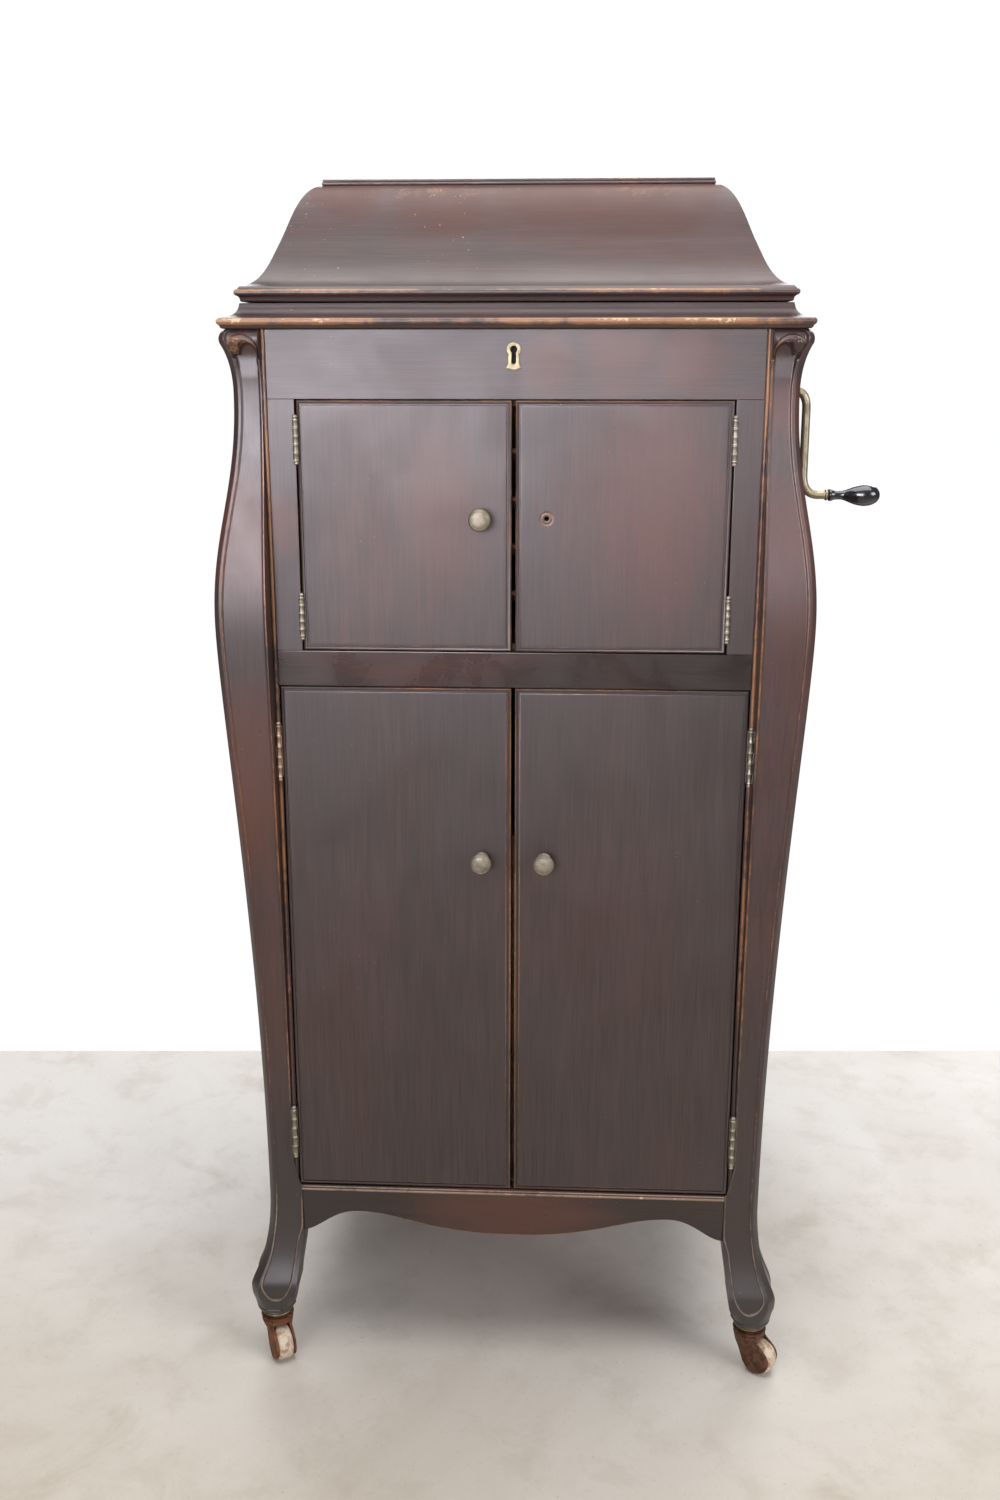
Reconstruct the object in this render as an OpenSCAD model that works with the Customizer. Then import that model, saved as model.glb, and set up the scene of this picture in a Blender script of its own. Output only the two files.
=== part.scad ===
// Floor-standing gramophone cabinet with bombe corner posts, a coved lid, two pairs of doors,
// an enclosed horn, a spring motor with turntable and tonearm, and a crank on the right side.
// Z is up, the doors face -Y, and the origin is under the middle of the whole object.

/* [Case] */
// Width of the case at the narrow neck under the cornice
neck_w = 495; // [480:1:515]
// Depth of the case at the same height
neck_d = 533; // [520:1:555]
// Floor to the bottom of the lower doors
leg_h = 198; // [192:1:205]
// Height of the lower door opening
lower_h = 519.5; // [500:0.5:535]
// Height of the rail between the two pairs of doors
mid_rail_h = 33; // [26:0.5:40]
// Height of the upper door opening
upper_h = 224.5; // [218:0.5:240]
// Height of the keyhole rail over the upper doors
fascia_h = 59; // [54:0.5:66]
// Thickness of a side panel
panel_t = 12; // [9:0.5:14]
// Thickness of the rails and stiles of the face frame
frame_t = 20; // [18:0.5:24]
// Width of the stiles beside the upper doors
stile_w = 23.7; // [18:0.1:30]
// Thickness of the shelves and boards inside the case
shelf_t = 8; // [6:0.5:10]
// Thickness of the bottom board
bottom_t = 15; // [12:0.5:18]

/* [Corner posts] */
// Thickness of a post at the neck, on both faces
post_t = 26; // [24:0.5:30]
// How far the post bulges in front of the neck line
bulge_out = 21.8; // [16:0.1:26]
// Height of the fullest part of the bulge above the lower door bottom
bulge_rise = 582; // [560:1:600]
// How far the toe kicks out
toe_out = 20; // [16:0.1:21.5]
// Height of the toe above the floor
toe_z = 87; // [84:1:92]
// Height of the bottom of the wooden foot above the floor
foot_z = 56; // [55:0.5:58]
// How far the carved scroll at the top stands out
scroll_out = 8.4; // [6:0.1:12]
// Width of the canted corner of a post
cant_w = 7; // [4:0.5:10]
// Width of the bead strip between a post and its neighbours
bead_w = 4.6; // [4:0.1:7]
// Width of the carved border between the cant and the sunk field of a post
border_w = 2.6; // [2:0.1:4]
// Depth of the sunk field of a post
field_depth = 1.2; // [0.8:0.1:2]
// How much deeper the field sinks under the scroll
scroll_sink = 4.5; // [2:0.5:6]

/* [Doors] */
// Thickness of a door
door_t = 18; // [15:0.5:20]
// Gap on the hinge side of a door
hinge_gap = 1.4; // [1.2:0.1:2]
// Gap above and below a door
door_gap = 0.8; // [0.5:0.1:1.5]
// Gap between the two doors of a pair
meeting_gap = 3.5; // [2:0.5:5]
// Width of the border inside the scratched line of a door
door_border = 4; // [3:0.5:6]
// Radius of a hinge barrel
barrel_r = 2.6; // [2.4:0.1:2.8]
// Length of an upper door hinge
upper_hinge_l = 36; // [30:1:42]
// Length of a lower door hinge
lower_hinge_l = 50; // [44:1:60]
// Diameter of a knob
knob_d = 20; // [16:0.5:23]
// How far a knob stands out of its door
knob_out = 19; // [15:0.5:24]

/* [Cornice and lid] */
// Height of the cornice
cornice_h = 22; // [20:0.5:26]
// How far the cornice stands out of the neck line
cornice_out = 9.5; // [7:0.5:12]
// Gap between cornice and lid
lid_gap = 1; // [0.8:0.1:2]
// Height of the nosing round the lid
nosing_h = 13; // [11:0.5:15]
// Height of the coved part of the lid
cove_h = 88.3; // [80:0.5:100]
// How far the lid draws in from the neck line at its top
cove_in = 74.5; // [70:0.5:88]
// Thickness of the lid wall
lid_wall = 12; // [10:0.5:14]
// Thickness of the board on top of the lid
lid_board_t = 5.2; // [4:0.2:8]
// Length of a lid hinge
lid_hinge_l = 60; // [50:1:76]
// Radius of the curved lid stay, measured from the hinge pins
stay_r = 118; // [108:1:124]

/* [Playing deck] */
// Depth of the motor board below the top of the case
board_drop = 18; // [16:0.5:24]
// Thickness of the motor board
board_t = 12; // [9:0.5:14]
// Diameter of the turntable
platter_d = 305; // [296:1:310]
// Height of the turntable rim
platter_h = 14; // [11:0.5:16]
// Distance from the tonearm post to the sound box, along the arm
arm_l = 212; // [206:1:218]
// Diameter of the sound box
soundbox_d = 52; // [46:1:54]
// Inner radius of the tonearm post
arm_r = 15; // [13:0.5:16]
// Distance from the rim of the turntable to the brake pivot
brake_reach = 60; // [54:1:66]

/* [Spring motor] */
// Distance between the two motor plates
motor_h = 86; // [82:1:90]
// Thickness of a motor plate
plate_t = 4; // [3:0.5:5]
// Diameter of the spring barrel
barrel_d = 96; // [88:1:100]
// Tooth module of the spring barrel wheel
great_m = 1.5; // [1.45:0.05:1.6]
// Tooth module of the second wheel
second_m = 1.25; // [1.2:0.05:1.35]

/* [Horn] */
// Wall thickness of the horn
horn_wall = 8; // [6:0.5:9]
// Width and height of the horn throat
throat = 44; // [42:1:48]
// Number of louvre slats in the horn mouth
slats = 4; // [3:1:5]

/* [Crank] */
// Height of the crank shaft below the top of the case
crank_drop = 56; // [54:1:58]
// Distance from the crank shaft to the handle
crank_throw = 108; // [96:1:116]
// Distance from the side of the case to the crank arm
crank_stand = 48; // [44:1:54]
// Diameter of the crank rod
rod_d = 9; // [8:0.5:10]
// Length of the turned handle
handle_l = 54; // [48:1:60]
// Largest diameter of the handle
handle_d = 23; // [20:0.5:26]

/* [Casters] */
// Radius of a caster wheel
wheel_r = 17; // [15:0.5:17.5]
// Width of a caster wheel
wheel_w = 16; // [14:0.5:18]
// Distance from the swivel to the wheel axle
trail = 13; // [11:0.5:14]

/* [Hidden] */
$fn = 48;

// Running clearance of a pin or shaft, measured on the radius
run_fit = 0.05;
// Gap kept between pieces that move past each other
free_gap = 0.4;
// Extra length by which a cut runs past the face that it opens
past = 1;

// Half sizes of the case at the neck
W = neck_w / 2;
D = neck_d / 2;
// Heights from the floor up
apron_top = leg_h - 0.5;
mid_rail_z = leg_h + lower_h;
upper_z = mid_rail_z + mid_rail_h;
fascia_z = upper_z + upper_h;
case_top = fascia_z + fascia_h;
cornice_top = case_top + cornice_h;
lid_z = cornice_top + lid_gap;
cove_z = lid_z + nosing_h;
lid_top = cove_z + cove_h;
deck_z = case_top - board_drop;
board_z = deck_z - board_t;
plate_z = board_z - 4 - plate_t;
motor_z = plate_z - motor_h;
crank_z = case_top - crank_drop;

// Inner faces of posts, bead strips, panels and frame
post_x = W - post_t;
post_y = D - post_t;
bead_x = post_x - bead_w;
bead_y = post_y - bead_w;
panel_inset = 1.5;
panel_x = W - panel_inset - panel_t;
back_t = panel_t;
back_y = D - panel_inset - back_t;
frame_y = D - frame_t;
stile_x = bead_x - stile_w;

// Post outline: the named heights and set-outs of the bombe curve
knee_in = 33.8;
knee_z = leg_h - 47;
waist_z = leg_h - 17;
waist_out = 0.5;
bulge_z = leg_h + bulge_rise;
neck_out = 0;
neck_z = case_top - 54;
scroll_z = case_top - 12;
foot_out = 13.5;
foot_in = 17.5;
ankle_in = 26;
ankle_z = 80;
foot_cant = 13;
foot_x = W + (foot_out - foot_in) / 2;
foot_y = D + (foot_out - foot_in) / 2;

// Crank: its arm, its bends and the start of its handle
arm_offset = W + crank_stand;
bend_r = 13;
grip_x = arm_offset + 2 * bend_r;

// Casters: cheeks of the forks, and the direction in which each wheel trails, as a turn about Z
fork_t = 3;
cheek_r = wheel_r - 2;
cheek_y = wheel_w / 2 + free_gap;
head_front_left = -61;
head_front_right = -36.5;
head_rear_left = -80;
head_rear_right = -112;

// Whole reach to either side and to front and back, which sets the origin
crank_reach = grip_x + handle_l;
left_reach = W + bulge_out;
shift_x = (left_reach - crank_reach) / 2;
front_reach = foot_y - (trail + cheek_r) * sin(head_front_left) + (cheek_y + fork_t) * cos(head_front_left);
rear_reach = D + bulge_out;
shift_y = (front_reach - rear_reach) / 2;

// Playing deck layout
spindle_y = -50;
spindle_r = 4;
record_pin_r = 3.6;
pin_h = 8;
arm_x = 80;
arm_y = 160;
rest_angle = 25;
felt_t = 2;
platter_z = deck_z + 11;
felt_z = platter_z + platter_h;
record_z = felt_z + felt_t + 1.5;
needle_drop = soundbox_d / 2 + 7;
tube_z = record_z + needle_drop;

// Gear train layout
great_n = 72;
second_pinion_n = 16;
second_n = 56;
spindle_pinion_n = 14;
drum_x = -75;
great_r = great_m * great_n / 2;
pinion_r = great_m * second_pinion_n / 2;
second_r = second_m * second_n / 2;
last_r = second_m * spindle_pinion_n / 2;
mesh_1 = great_r + pinion_r;
mesh_2 = second_r + last_r;
span = norm([drum_x, spindle_y]);
span_dir = atan2(spindle_y, -drum_x);
mesh_dir = span_dir - acos((mesh_1 * mesh_1 + span * span - mesh_2 * mesh_2) / (2 * mesh_1 * span));
second_x = drum_x + mesh_1 * cos(mesh_dir);
second_y = mesh_1 * sin(mesh_dir);
last_dir = atan2(spindle_y - second_y, -second_x);
worm_wheel_r = 18;
worm_r = 4.5;
governor_y = spindle_y - worm_wheel_r - worm_r - free_gap;
governor_z = motor_z + plate_t + 34;
arbor_r = 6;
great_z = crank_z - 12;

// Hinge axes
door_axis_y = -D - barrel_r - 0.1;
upper_axis_x = stile_x - hinge_gap / 2;
lower_axis_x = post_x - barrel_r - 0.5;
lid_axis_y = D;
lid_axis_z = cornice_top + lid_gap / 2;

wood = "#4a2a26";
dark_wood = "#3a2523";
inner_wood = "#8a6242";
brass = "#b59a5b";
steel = "#8c8c88";
iron = "#5b4a42";
black = "#1b1b1d";

function bez(a, b, c, d, n) =
    [for (i = [0:n]) let (t = i / n, s = 1 - t) s*s*s*a + 3*s*s*t*b + 3*s*t*t*c + t*t*t*d];
function tail(v) = [for (i = [1:len(v) - 1]) v[i]];
function flip(v) = [for (i = [len(v) - 1:-1:0]) v[i]];
function moved(v, dx, dz) = [for (p = v) [p[0] + dx, p[1] + dz]];

// Outer curve of a post, as set-out from the neck line against height
function post_curve() = concat(
    bez([foot_out, foot_z], [foot_out + 3.3, foot_z + 5], [toe_out, toe_z - 10], [toe_out, toe_z], 4),
    tail(bez([toe_out, toe_z], [toe_out, toe_z + 9], [waist_out, toe_z + 21], [waist_out, waist_z], 8)),
    tail(bez([waist_out, waist_z], [0, waist_z + 0.4825 * (bulge_z - waist_z)],
        [bulge_out, bulge_z - 0.1336 * (bulge_z - waist_z)], [bulge_out, bulge_z], 12)),
    tail(bez([bulge_out, bulge_z], [bulge_out, bulge_z + 0.395 * (neck_z - bulge_z)],
        [neck_out, neck_z - 0.42 * (neck_z - bulge_z)], [neck_out, neck_z], 9)),
    tail(bez([neck_out, neck_z], [neck_out, neck_z + 18], [scroll_out - 5.4, scroll_z - 10],
        [scroll_out, scroll_z], 4)),
    [[scroll_out + 0.6, scroll_z + 5], [scroll_out - 1, case_top - 3], [4, case_top]]);

// Inner curve of a post, from its top down to the foot
function post_inner() = concat(
    [[-post_t, case_top], [-post_t, apron_top], [-knee_in, apron_top]],
    bez([-knee_in, knee_z], [-knee_in, knee_z - 26], [-ankle_in - 2, ankle_z + 25],
        [-ankle_in, ankle_z], 6),
    tail(bez([-ankle_in, ankle_z], [1.5 - ankle_in, ankle_z - 12], [-foot_in - 2.5, foot_z + 6],
        [-foot_in, foot_z], 3)));

// Width of the canted corner at a height: wider down the foot
function cant_at(z) = z > waist_z ? cant_w
    : cant_w + (foot_cant - cant_w) * (waist_z - z) / (waist_z - foot_z);
function cant_curve() = [for (p = post_curve()) [sqrt(2) * p[0] - cant_at(p[1]) / 2, p[1]]];

module on_base() translate([shift_x, shift_y, 0]) children();
// An outline in X and Z, drawn out along Y from y0 to y1
module along_y(y0, y1) translate([0, y1, 0]) rotate([90, 0, 0]) linear_extrude(y1 - y0) children();
// An outline in Y and Z, drawn out along X from x0 to x1
module along_x(x0, x1) translate([x0, 0, 0]) rotate([90, 0, 90]) linear_extrude(x1 - x0) children();
module block(a, b) translate(a) cube(b - a);
// A turned piece: its outline's height runs along X, or forward along -Y
module turned_x() rotate([0, 90, 0]) rotate_extrude() children();
module turned_front() rotate([90, 0, 0]) rotate_extrude() children();
module both_x() {
    children();
    mirror([1, 0, 0]) children();
}
module both_y() {
    children();
    mirror([0, 1, 0]) children();
}

// ---- Corner posts -------------------------------------------------------------------

// Sunk field of one face: an arch under the scroll, and a shield at the foot
inner_border = 1.2;
knee_border = 5;
arch_z = scroll_z - 9.5;
arch_rx = 8.8;
arch_rz = 11;
shield_z = toe_z + 1;
shield_x = -2.6;
shield_rx = 13.2;
shield_rz = 13;
function field_curve() = concat(
    [for (p = post_curve()) if (p[1] > shield_z + 9 && p[1] < arch_z - 2)
        [p[0] - cant_at(p[1]) / sqrt(2) - border_w, p[1]]],
    [for (a = [20:28:160]) [inner_border - post_t + arch_rx * (1 + cos(a)), arch_z + arch_rz * sin(a)]],
    [[inner_border - post_t, arch_z], [inner_border - post_t, leg_h]],
    [for (p = post_inner()) if (p[1] <= knee_z && p[1] > shield_z + 6) [p[0] + knee_border, p[1]]],
    [for (a = [180:20:360]) [shield_x + shield_rx * cos(a), shield_z + shield_rz * sin(a)]]);

// Depth of the field at a height: it sinks away under the scroll
function sink_at(z) = field_depth + scroll_sink * max(0, min(1, (z - neck_z - 10) / 24));

module field_cut() {
    skin = concat(moved(post_curve(), past + 1, 0),
        flip([for (p = post_curve()) [p[0] - sink_at(p[1]), p[1]]]));
    intersection() {
        translate([W, 0, 0]) along_y(D - post_t, D + bulge_out + past) polygon(field_curve());
        translate([0, D, 0]) along_x(W - knee_in, W + bulge_out + past) polygon(skin);
    }
}

module post() {
    outline = concat(post_curve(), post_inner());
    reach = post_t + bulge_out;
    difference() {
        intersection() {
            translate([W, 0, 0]) along_y(D - reach, D + reach) polygon(outline);
            translate([0, D, 0]) along_x(W - reach, W + reach) polygon(outline);
            translate([W, D, 0]) rotate([90, 0, 45]) translate([0, 0, -reach * 2])
                linear_extrude(reach * 4)
                    polygon(concat(cant_curve(), [[-reach * 2, case_top], [-reach * 2, foot_z]]));
        }
        field_cut();
        // the same field on the side face, across the diagonal of the post
        translate([W, D, 0]) mirror([1, -1, 0]) translate([-W, -D, 0]) field_cut();
    }
}

module post_front_left() color(wood) on_base() mirror([1, 0, 0]) mirror([0, 1, 0]) post();
module post_front_right() color(wood) on_base() mirror([0, 1, 0]) post();
module post_rear_left() color(wood) on_base() mirror([1, 0, 0]) post();
module post_rear_right() color(wood) on_base() post();

// ---- Case ---------------------------------------------------------------------------

module bead_section(w, t) {
    translate([0, -t]) square([w, t - w / 2]);
    translate([w / 2, -w / 2]) circle(d = w);
}

module bead_strips() color(dark_wood) on_base() {
    both_x() translate([bead_x, -D, leg_h]) difference() {
        linear_extrude(case_top - leg_h) mirror([0, 1]) bead_section(bead_w, frame_t);
        // room for the frame leaves of the lower hinges
        for (z = lower_hinge_zs())
            translate([bead_w - leaf_t - 0.3, -past, z - leg_h - lower_hinge_l / 2 - 0.3])
                cube([leaf_t + 0.3 + past, frame_t + 2 * past, lower_hinge_l + 0.6]);
    }
    both_x() both_y() translate([W, bead_y, leg_h]) linear_extrude(case_top - leg_h)
        rotate(-90) mirror([1, 0]) bead_section(bead_w, panel_t + panel_inset);
}

ledge_w = 15;
ledge_front = 12;
ledge_rear = 60;
module side_panels() color(wood) on_base() {
    difference() {
        both_x() union() {
            block([panel_x, -bead_y, leg_h], [panel_x + panel_t, bead_y, case_top]);
            // ledge that carries the motor board
            block([panel_x - ledge_w, ledge_front - bead_y, board_z - ledge_w],
                [panel_x, bead_y - ledge_rear, board_z]);
        }
        translate([W, 0, crank_z]) rotate([0, 90, 0]) cylinder(r = bushing_r, h = 4 * panel_t, center = true);
    }
}

module back_panel() color(dark_wood) on_base()
    block([-post_x, back_y, leg_h], [post_x, back_y + back_t, case_top]);

module face_frame() color(wood) on_base() difference() {
    union() {
        block([-bead_x, -D, fascia_z], [bead_x, -frame_y, case_top]);
        block([-bead_x, -D, mid_rail_z], [bead_x, -frame_y, upper_z]);
        both_x() block([stile_x, -D, upper_z], [bead_x, -frame_y, fascia_z]);
    }
    along_y(-D - past, -frame_y + past) keyhole();
}

// Lower edge of an apron: a flat arch on each side of a low middle
function scallop(half) = let (crest = 0.74 * half, low = leg_h - 52.7, high = leg_h - 30) concat(
    bez([half, low], [half - 16, low], [crest + 0.12 * half, high], [crest, high], 6),
    tail(bez([crest, high], [0.7 * crest, high], [0.57 * crest, low], [0, low], 8)));

module apron_outline(half) {
    side = scallop(half);
    polygon(concat(side, [for (p = tail(flip(side))) [-p[0], p[1]]],
        [[-half, apron_top], [half, apron_top]]));
}

apron_t = 18;
module front_apron() color(wood) on_base() along_y(-D, -D + apron_t) apron_outline(W - knee_in);

module side_aprons() color(wood) on_base() {
    both_x() along_x(W - panel_inset - apron_t, W - panel_inset) apron_outline(D - knee_in);
    along_y(D - panel_inset - apron_t, D - panel_inset) apron_outline(W - knee_in);
}

// A level board that fills the case between the panels and is notched round the posts
module case_board(z, t, front) difference() {
    block([-panel_x, -front, z], [panel_x, back_y, z + t]);
    both_x() both_y() block([post_x, post_y, z - past], [panel_x + past, D, z + t + past]);
}

module bottom_board() color(inner_wood) on_base() {
    difference() {
        case_board(leg_h + 2 - bottom_t, bottom_t, D - door_t - free_gap);
        // the knees of the posts and the side aprons stand in its corners
        both_x() both_y()
            block([W - knee_in, D - knee_in, leg_h - bottom_t], [W, D, apron_top]);
        both_x() block([W - panel_inset - apron_t, -D, leg_h - bottom_t], [W, D, apron_top]);
        block([-W, D - panel_inset - apron_t, leg_h - bottom_t], [W, D, apron_top]);
        // the front bead strips stand on the frame beside it
        both_x() block([bead_x, -D, leg_h], [post_x, -frame_y, leg_h + 2 + past]);
    }
}

function cornice_curve() = concat(
    [[3.5, case_top], [cornice_out - 2.5, case_top + 1.2], [cornice_out - 0.5, case_top + 3.5],
     [cornice_out, case_top + 6], [cornice_out - 1, case_top + 8.6]],
    bez([cornice_out - 4.9, case_top + 9.8], [-4, case_top + 10.5], [-7.5, cornice_top - 8],
        [-8, cornice_top - 1.5], 6),
    [[-8.5, cornice_top]]);

// A body whose four sides all follow one outline, mitred at the corners
module mitred(curve, z0, z1) intersection() {
    along_y(-D - 40, D + 40) polygon(concat([for (p = curve) [W + p[0], p[1]]],
        [for (p = flip(curve)) [-W - p[0], p[1]]]));
    along_x(-W - 40, W + 40) polygon(concat([for (p = curve) [D + p[0], p[1]]],
        [for (p = flip(curve)) [-D - p[0], p[1]]]));
    block([-W - 40, -D - 40, z0], [W + 40, D + 40, z1]);
}

rim_in = 31.5;
module cornice() color(wood) on_base() difference() {
    mitred(cornice_curve(), case_top, cornice_top);
    block([-panel_x, -frame_y, case_top - past], [panel_x, back_y, cornice_top + past]);
    // recesses of the lower leaves of the lid hinges
    for (x = lid_hinge_xs())
        block([x - lid_hinge_l / 2, back_y - past, cornice_top - leaf_t],
            [x + lid_hinge_l / 2, D + cornice_out, cornice_top + past]);
}

// ---- Lid lock -----------------------------------------------------------------------

lock_z = fascia_z + 0.66 * fascia_h;
plate_w = 14;
plate_h = 22;
module keyhole() {
    translate([0, lock_z + 3]) circle(r = 2.3);
    translate([-1.2, lock_z - 5.5]) square([2.4, 8]);
}

module lid_lock() color(brass) on_base() {
    along_y(-D - 1.5, -D) difference() {
        union() {
            translate([0, lock_z + 3]) circle(r = 7);
            polygon([[-plate_w / 2 + 1.5, lock_z + 3], [plate_w / 2 - 1.5, lock_z + 3],
                [plate_w / 2 - 2, lock_z - 7], [plate_w / 2, lock_z - plate_h / 2],
                [-plate_w / 2, lock_z - plate_h / 2], [-plate_w / 2 + 2, lock_z - 7]]);
        }
        keyhole();
    }
    difference() {
        block([-26, -frame_y, lock_z - 16], [26, -frame_y + 11, lock_z + 16]);
        along_y(-frame_y - past, -frame_y + 8) keyhole();
    }
}

// ---- Doors --------------------------------------------------------------------------

door_y0 = -D;
door_y1 = -D + door_t;
function lower_hinge_zs() = [leg_h + 60.5, leg_h + lower_h - 62.5];
function upper_hinge_zs() = [upper_z + 32, fascia_z - 35];

// Right-hand door of a pair: a slab with a scratched line round its border
module door_slab(edge_x, z0, z1) {
    x0 = meeting_gap / 2;
    line_w = 1.1;
    line_d = 0.9;
    difference() {
        block([x0, door_y0, z0], [edge_x, door_y1, z1]);
        difference() {
            block([x0 + door_border, door_y0 - past, z0 + door_border],
                [edge_x - door_border, door_y0 + line_d, z1 - door_border]);
            block([x0 + door_border + line_w, door_y0 - 2 * past, z0 + door_border + line_w],
                [edge_x - door_border - line_w, door_y0 + line_d + past, z1 - door_border - line_w]);
        }
    }
}

upper_edge = stile_x - hinge_gap;
lower_edge = bead_x - hinge_gap;
module upper_door() door_slab(upper_edge, upper_z + door_gap, fascia_z - door_gap);
module lower_door() door_slab(lower_edge, leg_h + door_gap, mid_rail_z - door_gap);

module door_upper_left() color(wood) on_base() mirror([1, 0, 0]) difference() {
    upper_door();
    knob_bore(upper_knob_z);
}
module door_upper_right() color(wood) on_base() difference() {
    upper_door();
    knob_bore(upper_knob_z);
}
module door_lower_left() color(wood) on_base() mirror([1, 0, 0]) difference() {
    lower_door();
    knob_bore(lower_knob_z);
}
module door_lower_right() color(wood) on_base() difference() {
    lower_door();
    knob_bore(lower_knob_z);
}

knob_x = 29.5;
upper_knob_z = upper_z + 0.54 * upper_h;
lower_knob_z = leg_h + 0.68 * lower_h;
knob_screw_r = 2;
module knob_bore(z) along_y(door_y0 - past, door_y1 + past) translate([knob_x, z]) circle(r = knob_screw_r);

// Turned knob with its screw through the door
module knob(z) translate([knob_x, -D, z]) {
    turned_front() polygon(concat(
        [[0, 0], [knob_d / 2 - 3.5, 0], [knob_d / 2 - 3.5, 2], [knob_d / 4, 4],
         [knob_d / 4, knob_out - 10]],
        bez([knob_d / 2 - 1, knob_out - 8], [knob_d / 2 + 0.6, knob_out - 5], [knob_d / 2, knob_out - 3],
            [knob_d / 2 - 3, knob_out - 1.2], 5),
        [[0, knob_out]]));
    translate([0, door_t, 0]) rotate([90, 0, 0]) cylinder(r = knob_screw_r - run_fit, h = door_t + 1);
    translate([0, door_t + 2, 0]) rotate([90, 0, 0]) cylinder(r = 4.5, h = 2);
}

module knob_upper_left() color(brass) on_base() mirror([1, 0, 0]) knob(upper_knob_z);
module knob_lower_left() color(brass) on_base() mirror([1, 0, 0]) knob(lower_knob_z);
module knob_lower_right() color(brass) on_base() knob(lower_knob_z);

// ---- Door hinges --------------------------------------------------------------------

leaf_t = 0.5;
leaf_d = 15;
pin_r = 1.3;
knuckles = 5;
knuckle_gap = 0.3;

// Every second knuckle, from the first one, of an upright barrel of length l centred on z = 0
module knuckles_of(l, r, first) {
    pitch = l / knuckles;
    for (k = [first:2:knuckles - 1]) translate([0, 0, -l / 2 + k * pitch + knuckle_gap / 2])
        cylinder(r = r, h = pitch - knuckle_gap);
}

// Leaf plate between x0 and x1, with tongues to its own knuckles
module leaf(l, first, x0, x1) {
    pitch = l / knuckles;
    for (k = [first:2:knuckles - 1])
        block([x0, 0, -l / 2 + k * pitch + knuckle_gap / 2],
            [x1, barrel_r + 1, -l / 2 + (k + 1) * pitch - knuckle_gap / 2]);
    block([x0, barrel_r + 0.4, -l / 2], [x1, barrel_r + leaf_d, l / 2]);
}

module frame_leaf(l, x0, x1) {
    union() {
        knuckles_of(l, barrel_r, 0);
        cylinder(r = pin_r, h = l, center = true);
        for (s = [-1, 1]) translate([0, 0, s * (l / 2 + 1.6)]) sphere(r = 2.4);
        difference() {
            leaf(l, 0, x0, x1);
            cylinder(r = pin_r, h = 2 * l, center = true);
        }
    }
}

module door_leaf(l, x0, x1) difference() {
    union() {
        knuckles_of(l, barrel_r, 1);
        leaf(l, 1, x0, x1);
    }
    cylinder(r = pin_r + run_fit, h = 2 * l, center = true);
}

module hinge_frame_leaves() color(brass) on_base() {
    both_x() for (z = upper_hinge_zs()) translate([upper_axis_x, door_axis_y, z])
        frame_leaf(upper_hinge_l, stile_x - leaf_t - upper_axis_x, stile_x - upper_axis_x);
    both_x() for (z = lower_hinge_zs()) translate([lower_axis_x, door_axis_y, z])
        frame_leaf(lower_hinge_l, post_x - leaf_t - lower_axis_x, post_x - lower_axis_x);
    for (x = lid_hinge_xs()) translate([x, lid_axis_y, lid_axis_z]) {
        rotate([0, 90, 0]) {
            knuckles_of(lid_hinge_l, lid_barrel_r, 0);
            cylinder(r = lid_pin_r, h = lid_hinge_l, center = true);
        }
        lid_leaf(0, -lid_gap / 2 - leaf_t, -lid_gap / 2);
    }
    stay_guide();
}

// Bracket on the side panel that guides the lid stay and stops its stud
module stay_guide() difference() {
    block([stay_x - 6, lid_axis_y - stay_r - 12, cornice_top - 10],
        [panel_x, lid_axis_y - stay_r + 14, cornice_top - 7]);
    block([stay_x - free_gap, lid_axis_y - stay_r - stay_w / 2 - 1, cornice_top - 10 - past],
        [stay_x + stay_t + free_gap, lid_axis_y - stay_r + stay_w / 2 + 2, cornice_top - 7 + past]);
}

module upper_door_leaves() for (z = upper_hinge_zs()) translate([upper_axis_x, door_axis_y, z])
    door_leaf(upper_hinge_l, upper_edge - upper_axis_x, upper_edge + leaf_t - upper_axis_x);
module lower_door_leaves() for (z = lower_hinge_zs()) translate([lower_axis_x, door_axis_y, z])
    door_leaf(lower_hinge_l, lower_edge - lower_axis_x, lower_edge + 2 * leaf_t - lower_axis_x);
module hinge_leaves_upper_left() color(brass) on_base() mirror([1, 0, 0]) upper_door_leaves();
module hinge_leaves_upper_right() color(brass) on_base() upper_door_leaves();
module hinge_leaves_lower_left() color(brass) on_base() mirror([1, 0, 0]) lower_door_leaves();
module hinge_leaves_lower_right() color(brass) on_base() lower_door_leaves();

// ---- Lid ----------------------------------------------------------------------------

function nosing_curve() = [[-9.5, lid_z], [-5.5, lid_z + 2], [-4, lid_z + 5.5], [-4.4, lid_z + nosing_h - 3.7],
    [-8.5, cove_z]];
// Ogee of the lid wall: a hollow cove below, a round shoulder above
function cove_curve(dx, dz) = let (foot = -9.5 - dx, mid = -0.53 * cove_in - dx, top = -cove_in - dx) concat(
    bez([foot, cove_z], [foot - 16, cove_z + 3], [mid + 8, cove_z + 0.24 * cove_h],
        [mid, cove_z + 0.43 * cove_h], 7),
    tail(bez([mid, cove_z + 0.43 * cove_h], [mid - 9, cove_z + 0.65 * cove_h - dz],
        [top + 19, lid_top - 2 - dz], [top, lid_top - dz], 8)));

module lid_shell() color(wood) on_base() difference() {
    mitred(cove_curve(0, 0), cove_z, lid_top);
    mitred(concat([[-9.5 - lid_wall, cove_z - past]], cove_curve(lid_wall, lid_wall - 1)),
        cove_z - past, lid_top - lid_wall + 1);
}

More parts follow.
